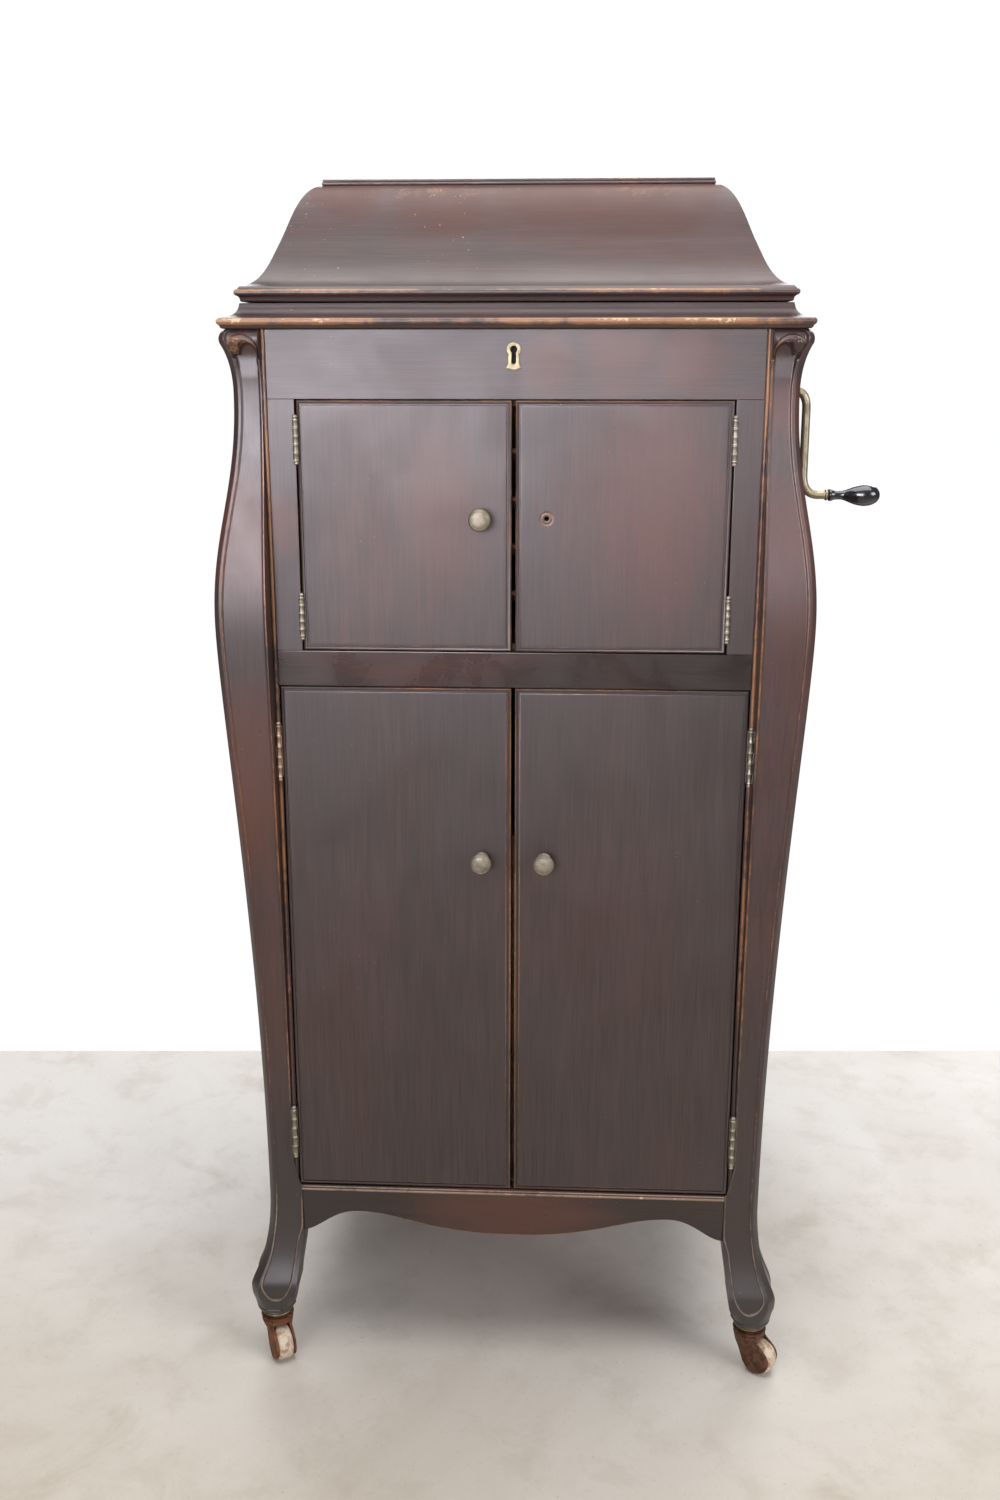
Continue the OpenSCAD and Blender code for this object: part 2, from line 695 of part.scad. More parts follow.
module lid_top_board() color(wood) on_base() mitred([[-cove_in, lid_top], [2 - cove_in, lid_top + 1],
    [2 - cove_in, lid_top + 2.6], [1 - cove_in, lid_top + 3.2], [1 - cove_in, lid_top + lid_board_t - 0.8],
    [0.2 - cove_in, lid_top + lid_board_t]], lid_top, lid_top + lid_board_t);

module lid_nosing() color(wood) on_base() difference() {
    mitred(nosing_curve(), lid_z, cove_z);
    block([-W + rim_in, -D + rim_in, lid_z - past], [W - rim_in, D - rim_in, cove_z + past]);
    for (x = lid_hinge_xs())
        block([x - lid_hinge_l / 2, back_y - past, lid_z - past], [x + lid_hinge_l / 2, D, lid_z + leaf_t]);
}

lid_pin_r = 1.6;
lid_barrel_r = 3;
function lid_hinge_xs() = [-0.56 * W, 0.56 * W];
// Leaf of a lid hinge between heights z0 and z1 over the pins, reaching forward under the lid
module lid_leaf(first, z0, z1) {
    pitch = lid_hinge_l / knuckles;
    difference() {
        union() {
            for (k = [first:2:knuckles - 1])
                block([-lid_hinge_l / 2 + k * pitch + knuckle_gap / 2, -lid_barrel_r - 1.5, z0],
                    [-lid_hinge_l / 2 + (k + 1) * pitch - knuckle_gap / 2, 0, z1]);
            block([-lid_hinge_l / 2, back_y - lid_axis_y, z0], [lid_hinge_l / 2, -lid_barrel_r - 1, z1]);
        }
        rotate([0, 90, 0]) cylinder(r = lid_pin_r + run_fit, h = 2 * lid_hinge_l, center = true);
    }
}

module lid_hinge_leaves() color(brass) on_base()
    for (x = lid_hinge_xs()) translate([x, lid_axis_y, lid_axis_z]) {
        rotate([0, 90, 0]) difference() {
            knuckles_of(lid_hinge_l, lid_barrel_r, 1);
            cylinder(r = lid_pin_r + run_fit, h = 2 * lid_hinge_l, center = true);
        }
        lid_leaf(1, lid_gap / 2, lid_gap / 2 + leaf_t);
    }

// Curved stay: an arc about the hinge pins that slides down through the motor board
stay_w = 8;
stay_t = 2.4;
stay_x = W - rim_in - stay_t;
stay_angle = 80;
module stay_ring(grow) difference() {
    circle(r = stay_r + stay_w / 2 + grow, $fn = 96);
    circle(r = stay_r - stay_w / 2 - grow, $fn = 96);
}
module lid_stay() color(brass) on_base() {
    translate([0, lid_axis_y, lid_axis_z]) along_x(stay_x, stay_x + stay_t) {
        intersection() {
            stay_ring(0);
            polygon([[0, 0], [-2 * stay_r, nosing_h * 2.6], [-2 * stay_r, -3 * stay_r],
                [-3 * stay_r * cos(stay_angle), -3 * stay_r * sin(stay_angle)]]);
        }
        // plate screwed to the inner face of the nosing
        translate([-stay_r - 22, lid_gap / 2 + 1]) square([44, nosing_h - 2]);
    }
    // stop stud at the lower end
    translate([stay_x - 3, lid_axis_y - stay_r * cos(stay_angle - 3),
        lid_axis_z - stay_r * sin(stay_angle - 3)]) rotate([0, 90, 0]) cylinder(r = 3, h = 3);
}
stay_slot = [lid_axis_y - sqrt(pow(stay_r + stay_w / 2, 2) - pow(lid_axis_z - deck_z, 2)) - 1,
    lid_axis_y - sqrt(pow(stay_r - stay_w / 2, 2) - pow(lid_axis_z - board_z, 2)) + 1];

// ---- Motor board and deck -----------------------------------------------------------

base_r = arm_r + 9;
cup_r = 19;
cup_xy = [[W - 54, -D + 50], [W - 54, -D + 96]];
// The brake reaches to the turntable in this direction, as a turn about Z
brake_dir = 41.2;
brake_xy = [-(platter_d / 2 + brake_reach) * cos(brake_dir),
    spindle_y - (platter_d / 2 + brake_reach) * sin(brake_dir)];
regulator_xy = [148, -208];
pivot_r = 3;
module motor_board() color(inner_wood) on_base() difference() {
    case_board(board_z, board_t, frame_y);
    translate([0, spindle_y, board_z - past]) cylinder(r = spindle_r + 4, h = board_t + 2 * past);
    translate([arm_x, arm_y, board_z - past]) cylinder(r = base_r, h = board_t + 2 * past);
    block([-27, -frame_y - past, board_z - past], [27, -frame_y + 11.5, deck_z + past]);
    for (c = cup_xy) translate([c[0], c[1], deck_z - 7]) cylinder(r = cup_r, h = 7 + past);
    for (c = [brake_xy, regulator_xy]) translate([c[0], c[1], board_z - past])
        cylinder(r = pivot_r + run_fit, h = board_t + 2 * past);
    block([stay_x - 4, stay_slot[0], board_z - past], [stay_x + stay_t + 0.6, stay_slot[1], deck_z + past]);
}

module needle_cups() color(steel) on_base() for (c = cup_xy) translate([c[0], c[1], deck_z - 7])
    rotate_extrude() polygon([[0, 0], [cup_r, 0], [cup_r, 7], [cup_r + 3, 7], [cup_r + 3, 8.5],
        [cup_r - 1.5, 8.5], [cup_r - 3, 3], [0, 1.5]]);

module turntable() color(steel) on_base() translate([0, spindle_y, platter_z]) rotate_extrude($fn = 96)
    polygon([[spindle_r + run_fit, 0], [14, 0], [14, platter_h - 6], [22, platter_h - 3.5],
        [platter_d / 2 - 6, platter_h - 3.5], [platter_d / 2 - 4, platter_h - 5], [platter_d / 2 - 4, 1],
        [platter_d / 2, 0], [platter_d / 2, platter_h - 1], [platter_d / 2 - 1, platter_h],
        [spindle_r + run_fit, platter_h]]);

module turntable_felt() color("#2f4a36") on_base() translate([0, spindle_y, felt_z]) rotate_extrude($fn = 96)
    polygon([[spindle_r + run_fit, 0], [platter_d / 2 - 1.5, 0], [platter_d / 2 - 2.5, felt_t],
        [spindle_r + run_fit, felt_t]]);

module turntable_spindle() color(steel) on_base() translate([0, spindle_y, 0]) {
    rotate_extrude() polygon(concat([[0, motor_z + 1], [spindle_r, motor_z + 2], [spindle_r, felt_z + felt_t - 0.3],
        [record_pin_r, felt_z + felt_t + 0.1]],
        bez([record_pin_r, felt_z + felt_t + pin_h], [record_pin_r, felt_z + felt_t + pin_h + 2],
            [2, felt_z + felt_t + pin_h + 4], [0, felt_z + felt_t + pin_h + 4], 4)));
    // collar under the turntable
    translate([0, 0, platter_z - 5]) cylinder(r = 9, h = 5);
    translate([0, 0, second_wheel_z - 3]) linear_extrude(11)
        rotate(last_dir + 180 - 180 / spindle_pinion_n) gear_2d(spindle_pinion_n, second_m, spindle_r - 0.5);
    translate([0, 0, governor_z - 3]) cylinder(r = worm_wheel_r, h = 6);
}

// ---- Spring motor -------------------------------------------------------------------

second_wheel_z = crank_z + 7;
// Straight-flanked wheel of n teeth, with backlash and root clearance
module gear_2d(n, m, bore) difference() {
    pitch_r = n * m / 2;
    step = 360 / n;
    polygon([for (i = [0:n - 1], q = [[-0.30, -1.15], [-0.12, 0.8], [0.12, 0.8], [0.30, -1.15]])
        let (a = (i + q[0]) * step, r = pitch_r + q[1] * m) [r * cos(a), r * sin(a)]]);
    circle(r = bore);
}

plate_x0 = drum_x - barrel_d / 2 - 12;
plate_x1 = 112;
plate_y0 = spindle_y - 52;
plate_y1 = barrel_d / 2 + 12;
pillar_r = 5;
pillars = [[plate_x0 + 8, plate_y0 + 8], [plate_x0 + 8, plate_y1 - 8], [plate_x1 - 8, plate_y0 + 8],
    [plate_x1 - 8, plate_y1 - 8]];
module motor_plate(z) difference() {
    block([plate_x0, plate_y0, z], [plate_x1, plate_y1, z + plate_t]);
    translate([0, spindle_y, z - past]) cylinder(r = spindle_r + run_fit, h = plate_t + 2 * past);
    translate([second_x, second_y, z - past]) cylinder(r = pivot_r + run_fit, h = plate_t + 2 * past);
}

// Half width of the closed box that holds the winding bevels
bevel_box = 17;
// Inner end of the winding shaft, from the drum axis
shaft_start = 9;
// Governor: its pin, its bearings and their places along the spindle
governor_pin_r = 2;
bearing_t = 5;
governor_bearings = [-22, 94];
module motor_frame() color(iron) on_base() {
    motor_plate(plate_z);
    motor_plate(motor_z);
    for (p = pillars) translate([p[0], p[1], motor_z + plate_t]) {
        cylinder(r = pillar_r, h = motor_h - plate_t);
        // rubber-shod screw pads between the upper plate and the motor board
        translate([0, 0, motor_h]) cylinder(r = pillar_r + 3, h = 4);
    }
    // barrel arbor, and the closed box of the winding bevels over it
    translate([drum_x, 0, motor_z + plate_t]) cylinder(r = arbor_r, h = crank_z - motor_z - plate_t);
    difference() {
        block([drum_x - bevel_box, -bevel_box, crank_z - 5 - free_gap], [drum_x + bevel_box, bevel_box, plate_z]);
        translate([drum_x + shaft_start - past, 0, crank_z]) rotate([0, 90, 0])
            cylinder(r = rod_d / 2 + run_fit, h = bevel_box);
    }
    for (x = governor_bearings) difference() {
        block([x, governor_y - 6, motor_z + plate_t], [x + bearing_t, governor_y + 6, governor_z + 6]);
        translate([x - past, governor_y, governor_z]) rotate([0, 90, 0])
            cylinder(r = governor_pin_r + run_fit, h = bearing_t + 2 * past);
    }
}

module spring_barrel() color(steel) on_base() translate([drum_x, 0, 0]) difference() {
    union() {
        translate([0, 0, motor_z + plate_t + 3]) cylinder(d = barrel_d, h = great_z - motor_z - plate_t - 3, $fn = 96);
        translate([0, 0, motor_z + plate_t + 3]) cylinder(d = barrel_d + 4, h = 4, $fn = 96);
        translate([0, 0, great_z]) linear_extrude(5) rotate(mesh_dir) gear_2d(great_n, great_m, arbor_r);
    }
    translate([0, 0, motor_z]) cylinder(r = arbor_r + run_fit, h = motor_h);
}

module second_wheel() color(brass) on_base() translate([second_x, second_y, 0]) {
    translate([0, 0, motor_z + 1]) cylinder(r = pivot_r, h = motor_h + plate_t - 2);
    translate([0, 0, great_z - 3]) linear_extrude(10)
        rotate(mesh_dir + 180 - 180 / second_pinion_n) gear_2d(second_pinion_n, great_m, pivot_r - 0.5);
    translate([0, 0, second_wheel_z]) linear_extrude(5)
        rotate(last_dir) gear_2d(second_n, second_m, pivot_r - 0.5);
}

module governor() color(brass) on_base() translate([0, governor_y, governor_z]) {
    translate([governor_bearings[0] - 1, 0, 0]) rotate([0, 90, 0])
        cylinder(r = governor_pin_r, h = governor_bearings[1] - governor_bearings[0] + bearing_t + 1);
    translate([-14, 0, 0]) turned_x() polygon(concat([[0, 0]],
        [for (i = [0:6]) each [[worm_r - 1.5, i * 4], [worm_r, i * 4 + 1], [worm_r, i * 4 + 2.4],
            [worm_r - 1.5, i * 4 + 3.4]]], [[0, 28]]));
    translate([28, 0, 0]) rotate([0, 90, 0]) cylinder(r = 6, h = 6);
    translate([68, 0, 0]) rotate([0, 90, 0]) cylinder(r = 6, h = 6);
    translate([80, 0, 0]) rotate([0, 90, 0]) cylinder(r = 15, h = 2.5);
    // three flat springs, each with its weight
    for (a = [0:120:240]) rotate([a, 0, 0]) {
        translate([28, -2.5, 5]) cube([46, 5, 1]);
        translate([44, 0, 5]) cylinder(r = 5, h = 9);
    }
}

// ---- Horn and tonearm ---------------------------------------------------------------

mouth_y = -frame_y + 10;
throat_y = arm_y - 38;
throat_z = upper_z + 52;
horn_roof = bez([mouth_y, fascia_z - 6.5], [mouth_y + 80, motor_z - 4 + plate_t - horn_wall],
    [-60, motor_z - 44], [throat_y, throat_z + throat / 2], 12);
horn_floor = bez([mouth_y, upper_z + 4.5], [-100, upper_z + 4.5], [0, throat_z - throat / 2 - 14],
    [throat_y, throat_z - throat / 2], 8);
mouth_x = stile_x - 5;
horn_left = bez([-mouth_x, mouth_y], [-mouth_x + 38, mouth_y + 110], [0, 0], [arm_x - throat / 2, throat_y], 10);
horn_right = bez([mouth_x, mouth_y], [mouth_x - 38, mouth_y + 110], [arm_x + 34, -20],
    [arm_x + throat / 2, throat_y], 10);

// Solid flare of the horn, grown by g on every side and lengthened by e at both ends
module flare(g, e) intersection() {
    along_x(-W, W) polygon(concat([[mouth_y - e, horn_floor[0][1] - g]], moved(horn_floor, 0, -g),
        [[throat_y + e, throat_z - throat / 2 - g], [throat_y + e, throat_z + throat / 2 + g]],
        flip(moved(horn_roof, 0, g)), [[mouth_y - e, horn_roof[0][1] + g]]));
    translate([0, 0, upper_z - 40]) linear_extrude(case_top - upper_z)
        polygon(concat([[-mouth_x - g, mouth_y - e]], moved(horn_left, -g, 0),
            [[arm_x - throat / 2 - g, throat_y + e], [arm_x + throat / 2 + g, throat_y + e]],
            flip(moved(horn_right, g, 0)), [[mouth_x + g, mouth_y - e]]));
}

module horn() color(inner_wood) on_base() difference() {
    union() {
        flare(horn_wall, 0);
        // board that closes the space behind the face frame round the mouth
        block([-bead_x, -frame_y, mid_rail_z + shelf_t + 1], [bead_x, mouth_y, fascia_z + 20]);
    }
    flare(0, 20);
}

module louvres() color(inner_wood) on_base() {
    step = (horn_roof[0][1] - horn_floor[0][1]) / (slats + 1);
    intersection() {
        for (i = [1:slats]) translate([0, -frame_y + 11, horn_floor[0][1] + i * step])
            along_x(-mouth_x, mouth_x) rotate(-24) {
                translate([-9, -2.5]) square([18, 5]);
                translate([-9, 0]) circle(r = 2.5);
                translate([9, 0]) circle(r = 2.5);
            }
        flare(-0.1, 20);
    }
}

elbow_r = 30;
tube_r = throat / 2 + 2;
module tonearm_base() color(iron) on_base() {
    // cast elbow under the board
    difference() {
        union() {
            translate([arm_x, throat_y, throat_z]) rotate([-90, 0, 0])
                cylinder(r = tube_r, h = arm_y - elbow_r - throat_y);
            block([arm_x - throat / 2 - horn_wall, throat_y, throat_z - throat / 2 - horn_wall],
                [arm_x + throat / 2 + horn_wall, throat_y + 5, throat_z + throat / 2 + horn_wall]);
            translate([arm_x, arm_y - elbow_r, throat_z + elbow_r]) rotate([0, 90, 0])
                rotate_extrude(angle = 90) translate([elbow_r, 0]) circle(r = tube_r);
            translate([arm_x, arm_y, throat_z + elbow_r]) cylinder(r = tube_r, h = board_z - throat_z - elbow_r);
        }
        translate([arm_x, throat_y - past, throat_z]) rotate([-90, 0, 0])
            cylinder(r = tube_r - 5, h = arm_y - elbow_r - throat_y + past);
        translate([arm_x, arm_y - elbow_r, throat_z + elbow_r]) rotate([0, 90, 0])
            rotate_extrude(angle = 90) translate([elbow_r, 0]) circle(r = tube_r - 5);
        translate([arm_x, arm_y, throat_z + elbow_r]) cylinder(r = tube_r - 5, h = board_z);
    }
    // bracket on the board, in which the arm turns
    translate([arm_x, arm_y, board_z]) rotate_extrude() polygon([[arm_r - 3, 0], [base_r, 0],
        [base_r, board_t], [base_r + 12, board_t], [base_r + 12, board_t + 4], [base_r - 1, board_t + 7],
        [arm_r + 4, board_t + 16], [arm_r + run_fit, board_t + 16], [arm_r + run_fit, board_t - 2],
        [arm_r - 3, board_t - 2]]);
}

neck_tube_r = 7;
neck_bend = 13;
arm_end = arm_l - neck_bend - 3;
// Frame of the arm at rest: local -Y runs along the arm to the needle
module at_arm() translate([arm_x, arm_y, tube_z]) rotate([0, 0, rest_angle]) children();
module tonearm() color(steel) on_base() {
    difference() {
        union() {
            translate([arm_x, arm_y, deck_z - 1.5]) cylinder(r = arm_r, h = tube_z - deck_z);
            at_arm() {
                sphere(r = arm_r + 1.5);
                rotate([90, 0, 0]) cylinder(r1 = arm_r, r2 = 10, h = arm_end);
                translate([0, 8 - arm_end, 0]) rotate([90, 0, 0]) cylinder(r = 11, h = 8);
            }
        }
        translate([arm_x, arm_y, deck_z - 1.5 - past]) cylinder(r = arm_r - 3, h = tube_z - deck_z);
        at_arm() translate([0, -arm_end + 24, 0]) rotate([90, 0, 0])
            cylinder(r = neck_tube_r + run_fit, h = 24 + past);
    }
}

box_t = 15;
// Elbow and sound box, which turn together about the end of the arm
module sound_box() color(steel) on_base() at_arm() translate([0, -arm_end, 0]) {
    translate([0, 22, 0]) rotate([90, 0, 0]) cylinder(r = neck_tube_r, h = 22 + free_gap);
    translate([0, -free_gap, 0]) rotate([90, 0, 0]) cylinder(r = 10, h = 3);
    translate([-neck_bend, -3, 0]) rotate([0, 0, 270]) rotate_extrude(angle = 90) translate([neck_bend, 0])
        circle(r = neck_tube_r);
    translate([-neck_bend, -3 - neck_bend, 0]) rotate([0, -90, 0]) rotate_extrude($fn = 64)
        polygon([[0, 0], [neck_tube_r + 2, 0], [neck_tube_r + 3, 3], [soundbox_d / 2 - 2, 4],
            [soundbox_d / 2, 5.5], [soundbox_d / 2, box_t - 1.5], [soundbox_d / 2 - 1.5, box_t],
            [soundbox_d / 2 - 6, box_t], [soundbox_d / 2 - 7, box_t - 3], [0, box_t - 3]]);
    // stylus bar, needle socket and needle
    translate([-neck_bend - box_t - 1.5, -3 - neck_bend, -soundbox_d / 2 - 2]) cylinder(r = 1.2, h = soundbox_d / 2 + 2);
    translate([-neck_bend - box_t - 1.5, -3 - neck_bend, -1]) rotate([0, 90, 0]) cylinder(r = 2, h = 5);
    translate([-neck_bend - box_t - 1.5, -3 - neck_bend, -soundbox_d / 2 - 1]) rotate([0, 90, 0])
        cylinder(r = 1.8, h = box_t / 2 + 2);
    translate([-neck_bend - box_t - 1.5, -3 - neck_bend, -soundbox_d / 2 - 1]) rotate([30, 0, 0])
        translate([0, 0, -5.5]) cylinder(r1 = 0.4, r2 = 1.1, h = 6);
}

// Brake: a sprung arm whose pad bears on the rim of the turntable
brake_l = brake_reach - free_gap;
module brake_lever() color(steel) on_base() translate([brake_xy[0], brake_xy[1], 0]) {
    translate([0, 0, board_z - 2]) cylinder(r = pivot_r, h = board_t + 12);
    translate([0, 0, deck_z + 0.3]) cylinder(r = 9, h = 4);
    rotate(brake_dir) {
        block([0, -4, platter_z], [brake_l - 8, 4, platter_z + 3]);
        block([brake_l - 8, -6, platter_z - 3], [brake_l, 6, platter_z + 7]);
    }
    rotate(brake_dir + 180) block([0, -3, platter_z], [26, 3, platter_z + 3]);
    translate([0, 0, deck_z + 0.3]) cylinder(r = 5, h = 12);
}

module speed_regulator() color(brass) on_base() translate([regulator_xy[0], regulator_xy[1], 0]) {
    translate([0, 0, board_z - 2]) cylinder(r = pivot_r, h = board_t + 4);
    translate([0, 0, deck_z + 0.3]) rotate_extrude() polygon([[0, 0], [13, 0], [13, 2], [8, 3.5], [7, 5],
        [8.5, 8], [8.5, 12], [7, 13.5], [0, 14]]);
    translate([0, 0, deck_z + 0.3]) block([0, -1.5, 0], [20, 1.5, 1.6]);
}

// ---- Record storage -----------------------------------------------------------------

rack_z = leg_h + 0.69 * lower_h;
dividers = 3;
divider_t = 6;
module record_rack() color(inner_wood) on_base() {
    // dust board under the horn, shelf, and upright dividers under the shelf
    case_board(mid_rail_z + 1, shelf_t, frame_y);
    case_board(rack_z, shelf_t, frame_y - 10);
    for (i = [1:dividers]) {
        x = -panel_x + i * 2 * panel_x / (dividers + 1);
        block([x - divider_t / 2, -frame_y + 14, leg_h + 2], [x + divider_t / 2, back_y, rack_z]);
    }
}

// ---- Crank --------------------------------------------------------------------------

bushing_r = rod_d / 2 + 3;
module crank_bushing() color(brass) on_base() translate([W - panel_inset, 0, crank_z]) difference() {
    union() {
        translate([-panel_t, 0, 0]) rotate([0, 90, 0]) cylinder(r = bushing_r, h = panel_t);
        rotate([0, 90, 0]) cylinder(r1 = bushing_r + 9, r2 = bushing_r + 7, h = 2.5);
    }
    translate([-2 * panel_t, 0, 0]) rotate([0, 90, 0]) cylinder(r = rod_d / 2 + run_fit, h = 4 * panel_t);
}

socket_x = W + 4;
module winding_shaft() color(steel) on_base() translate([drum_x + shaft_start, 0, crank_z])
    rotate([0, 90, 0]) cylinder(r = rod_d / 2, h = socket_x - drum_x - shaft_start);

pin_d = 5;
module rod_bend() rotate_extrude(angle = 90) translate([bend_r, 0]) circle(d = rod_d);
module crank() color(brass) on_base() translate([0, 0, crank_z]) {
    translate([socket_x, 0, 0]) rotate([0, 90, 0]) cylinder(d = rod_d + 4, h = 12);
    translate([socket_x + 11, 0, 0]) rotate([0, 90, 0]) cylinder(d = rod_d, h = arm_offset - bend_r - socket_x - 11);
    translate([arm_offset - bend_r, 0, -bend_r]) rotate([90, 0, 0]) rod_bend();
    translate([arm_offset, 0, -crank_throw + bend_r]) cylinder(d = rod_d, h = crank_throw - 2 * bend_r);
    translate([arm_offset + bend_r, 0, bend_r - crank_throw]) rotate([90, 0, 0]) rotate(180) rod_bend();
    translate([arm_offset + bend_r, 0, -crank_throw]) rotate([0, 90, 0])
        cylinder(d = rod_d, h = grip_x - free_gap - arm_offset - bend_r);
    translate([grip_x - 1, 0, -crank_throw]) rotate([0, 90, 0]) cylinder(d = pin_d, h = handle_l - 5);
}

module crank_handle() color(black) on_base() translate([grip_x, 0, crank_z - crank_throw]) turned_x()
    difference() {
        polygon(concat([[0, 0], [5.6, 0], [6.4, 1.5], [6.4, 3.5], [5.4, 5.5], [4.8, 9], [4.8, 13]],
            tail(bez([4.8, 13], [5.2, 0.36 * handle_l], [0.49 * handle_d, 0.45 * handle_l],
                [handle_d / 2, 0.68 * handle_l], 7)),
            tail(bez([handle_d / 2, 0.68 * handle_l], [handle_d / 2, 0.88 * handle_l],
                [0.3 * handle_d, handle_l], [0, handle_l], 7))));
        square([pin_d / 2 + run_fit, handle_l - 5]);
    }

// ---- Casters ------------------------------------------------------------------------

stem_r = 4;
collar_r = 14.6;
crown_r = 15.5;
crown_h = 8.5;
fork_top = foot_z - 9.5;

module caster_sockets() color(brass) on_base() both_x() both_y() translate([foot_x, foot_y, 0]) difference() {
    rotate_extrude() polygon([[0, foot_z - 9], [collar_r - 4, foot_z - 9], [collar_r - 4, foot_z - 6.4],
        [collar_r - 1, foot_z - 6.4], [collar_r, foot_z - 5], [collar_r, foot_z - 1.5],
        [collar_r - 0.8, foot_z], [0, foot_z]]);
    translate([0, 0, foot_z - 9 - past]) cylinder(r = stem_r + run_fit, h = 8);
}

axle_r = 2.5;
// Fork with its stem, trailing along local +X
module caster_fork() {
    crown_z = fork_top - crown_h;
    translate([0, 0, fork_top - past]) cylinder(r = stem_r, h = 7);
    translate([0, 0, crown_z]) cylinder(r1 = crown_r - 1, r2 = crown_r, h = crown_h);
    // round cheeks, which widen from the crown to cover both sides of the wheel
    for (s = [-1, 1]) along_y(s * (cheek_y + fork_t / 2) - fork_t / 2, s * (cheek_y + fork_t / 2) + fork_t / 2) {
        translate([trail, wheel_r]) circle(r = cheek_r);
        polygon([[-0.6 * crown_r, crown_z + 4], [-0.65 * crown_r, crown_z],
            [trail - 0.95 * cheek_r, wheel_r - 0.31 * cheek_r], [trail, wheel_r],
            [trail + 0.64 * cheek_r, wheel_r + 0.77 * cheek_r], [0.65 * crown_r, crown_z],
            [0.6 * crown_r, crown_z + 4]]);
    }
    translate([trail, 0, wheel_r]) rotate([90, 0, 0])
        cylinder(r = axle_r, h = 2 * (cheek_y + fork_t) + 2, center = true);
}

module caster_wheel() translate([trail, 0, wheel_r]) rotate([90, 0, 0]) difference() {
    rotate_extrude($fn = 64) translate([0, -wheel_w / 2]) polygon([[0, 0], [wheel_r - 3, 0], [wheel_r - 1, 1],
        [wheel_r, 3], [wheel_r, wheel_w - 3], [wheel_r - 1, wheel_w - 1], [wheel_r - 3, wheel_w], [0, wheel_w]]);
    cylinder(r = axle_r + run_fit, h = wheel_w + 2 * past, center = true);
}

module at_foot(sx, sy, heading) translate([sx * foot_x, sy * foot_y, 0]) rotate(heading) children();
module caster_fork_front_left() color(iron) on_base() at_foot(-1, -1, head_front_left) caster_fork();
module caster_fork_front_right() color(iron) on_base() at_foot(1, -1, head_front_right) caster_fork();
module caster_fork_rear_left() color(iron) on_base() at_foot(-1, 1, head_rear_left) caster_fork();
module caster_fork_rear_right() color(iron) on_base() at_foot(1, 1, head_rear_right) caster_fork();
module caster_wheel_front_left() color("#cdbfa4") on_base() at_foot(-1, -1, head_front_left) caster_wheel();
module caster_wheel_front_right() color("#cdbfa4") on_base() at_foot(1, -1, head_front_right) caster_wheel();
module caster_wheel_rear_left() color("#cdbfa4") on_base() at_foot(-1, 1, head_rear_left) caster_wheel();
module caster_wheel_rear_right() color("#cdbfa4") on_base() at_foot(1, 1, head_rear_right) caster_wheel();

// ---- Pieces ----

post_front_left();
post_front_right();
post_rear_left();
post_rear_right();
bead_strips();
side_panels();
back_panel();
face_frame();
front_apron();
side_aprons();
bottom_board();
cornice();
lid_lock();
crank_bushing();
motor_board();
horn();
louvres();
record_rack();
hinge_frame_leaves();
caster_sockets();
needle_cups();
tonearm_base();
motor_frame();
lid_shell();
lid_top_board();
lid_nosing();
lid_hinge_leaves();
lid_stay();
door_upper_left();
door_upper_right();
door_lower_left();
door_lower_right();
knob_upper_left();
knob_lower_left();
knob_lower_right();
hinge_leaves_upper_left();
hinge_leaves_upper_right();
hinge_leaves_lower_left();
hinge_leaves_lower_right();
caster_fork_front_left();
caster_fork_front_right();
caster_fork_rear_left();
caster_fork_rear_right();
caster_wheel_front_left();
caster_wheel_front_right();
caster_wheel_rear_left();
caster_wheel_rear_right();
winding_shaft();
crank();
crank_handle();
turntable();
turntable_felt();
turntable_spindle();
spring_barrel();
second_wheel();
governor();
tonearm();
sound_box();
brake_lever();
speed_regulator();
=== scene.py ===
"""Dresses the gramophone cabinet: turned, moulded and carved pieces in worn wood and metal finishes."""

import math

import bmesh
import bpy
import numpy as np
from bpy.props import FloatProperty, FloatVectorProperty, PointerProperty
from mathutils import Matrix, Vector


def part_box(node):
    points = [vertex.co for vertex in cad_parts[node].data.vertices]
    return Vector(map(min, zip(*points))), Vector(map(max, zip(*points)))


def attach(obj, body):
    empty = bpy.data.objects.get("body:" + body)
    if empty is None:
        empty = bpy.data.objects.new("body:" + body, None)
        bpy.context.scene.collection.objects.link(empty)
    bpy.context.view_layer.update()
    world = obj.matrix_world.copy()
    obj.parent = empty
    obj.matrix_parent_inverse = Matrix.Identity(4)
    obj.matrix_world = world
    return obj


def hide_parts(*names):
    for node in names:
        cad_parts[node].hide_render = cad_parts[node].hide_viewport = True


bl_info = {
    "name": "Gramophone Cabinet",
    "version": (1, 0, 0),
    "blender": (4, 5, 0),
    "location": "View3D > Sidebar > Cabinet",
    "description": "Builds a bombe gramophone cabinet with its lid, doors, casters, crank and playing deck",
    "category": "Add Mesh",
}

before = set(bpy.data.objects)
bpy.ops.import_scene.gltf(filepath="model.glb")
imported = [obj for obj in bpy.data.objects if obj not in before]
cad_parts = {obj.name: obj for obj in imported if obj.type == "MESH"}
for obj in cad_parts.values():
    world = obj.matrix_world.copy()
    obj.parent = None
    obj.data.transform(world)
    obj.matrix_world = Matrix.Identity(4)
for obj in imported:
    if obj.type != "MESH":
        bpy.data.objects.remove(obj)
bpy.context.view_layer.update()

# ---- Measures, in millimetres from the middle of the case ---------------------------------

MM = 0.001
FACE, FRONT, REAR = (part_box(node) for node in ("face_frame", "post_front_right", "post_rear_right"))
MIDDLE = Vector(((FACE[0].x + FACE[1].x) / 2, (FRONT[0].y + REAR[1].y) / 2, 0))


def corners(node):
    """Lowest and highest corners of a CAD node."""
    return [(spot - MIDDLE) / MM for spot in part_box(node)]


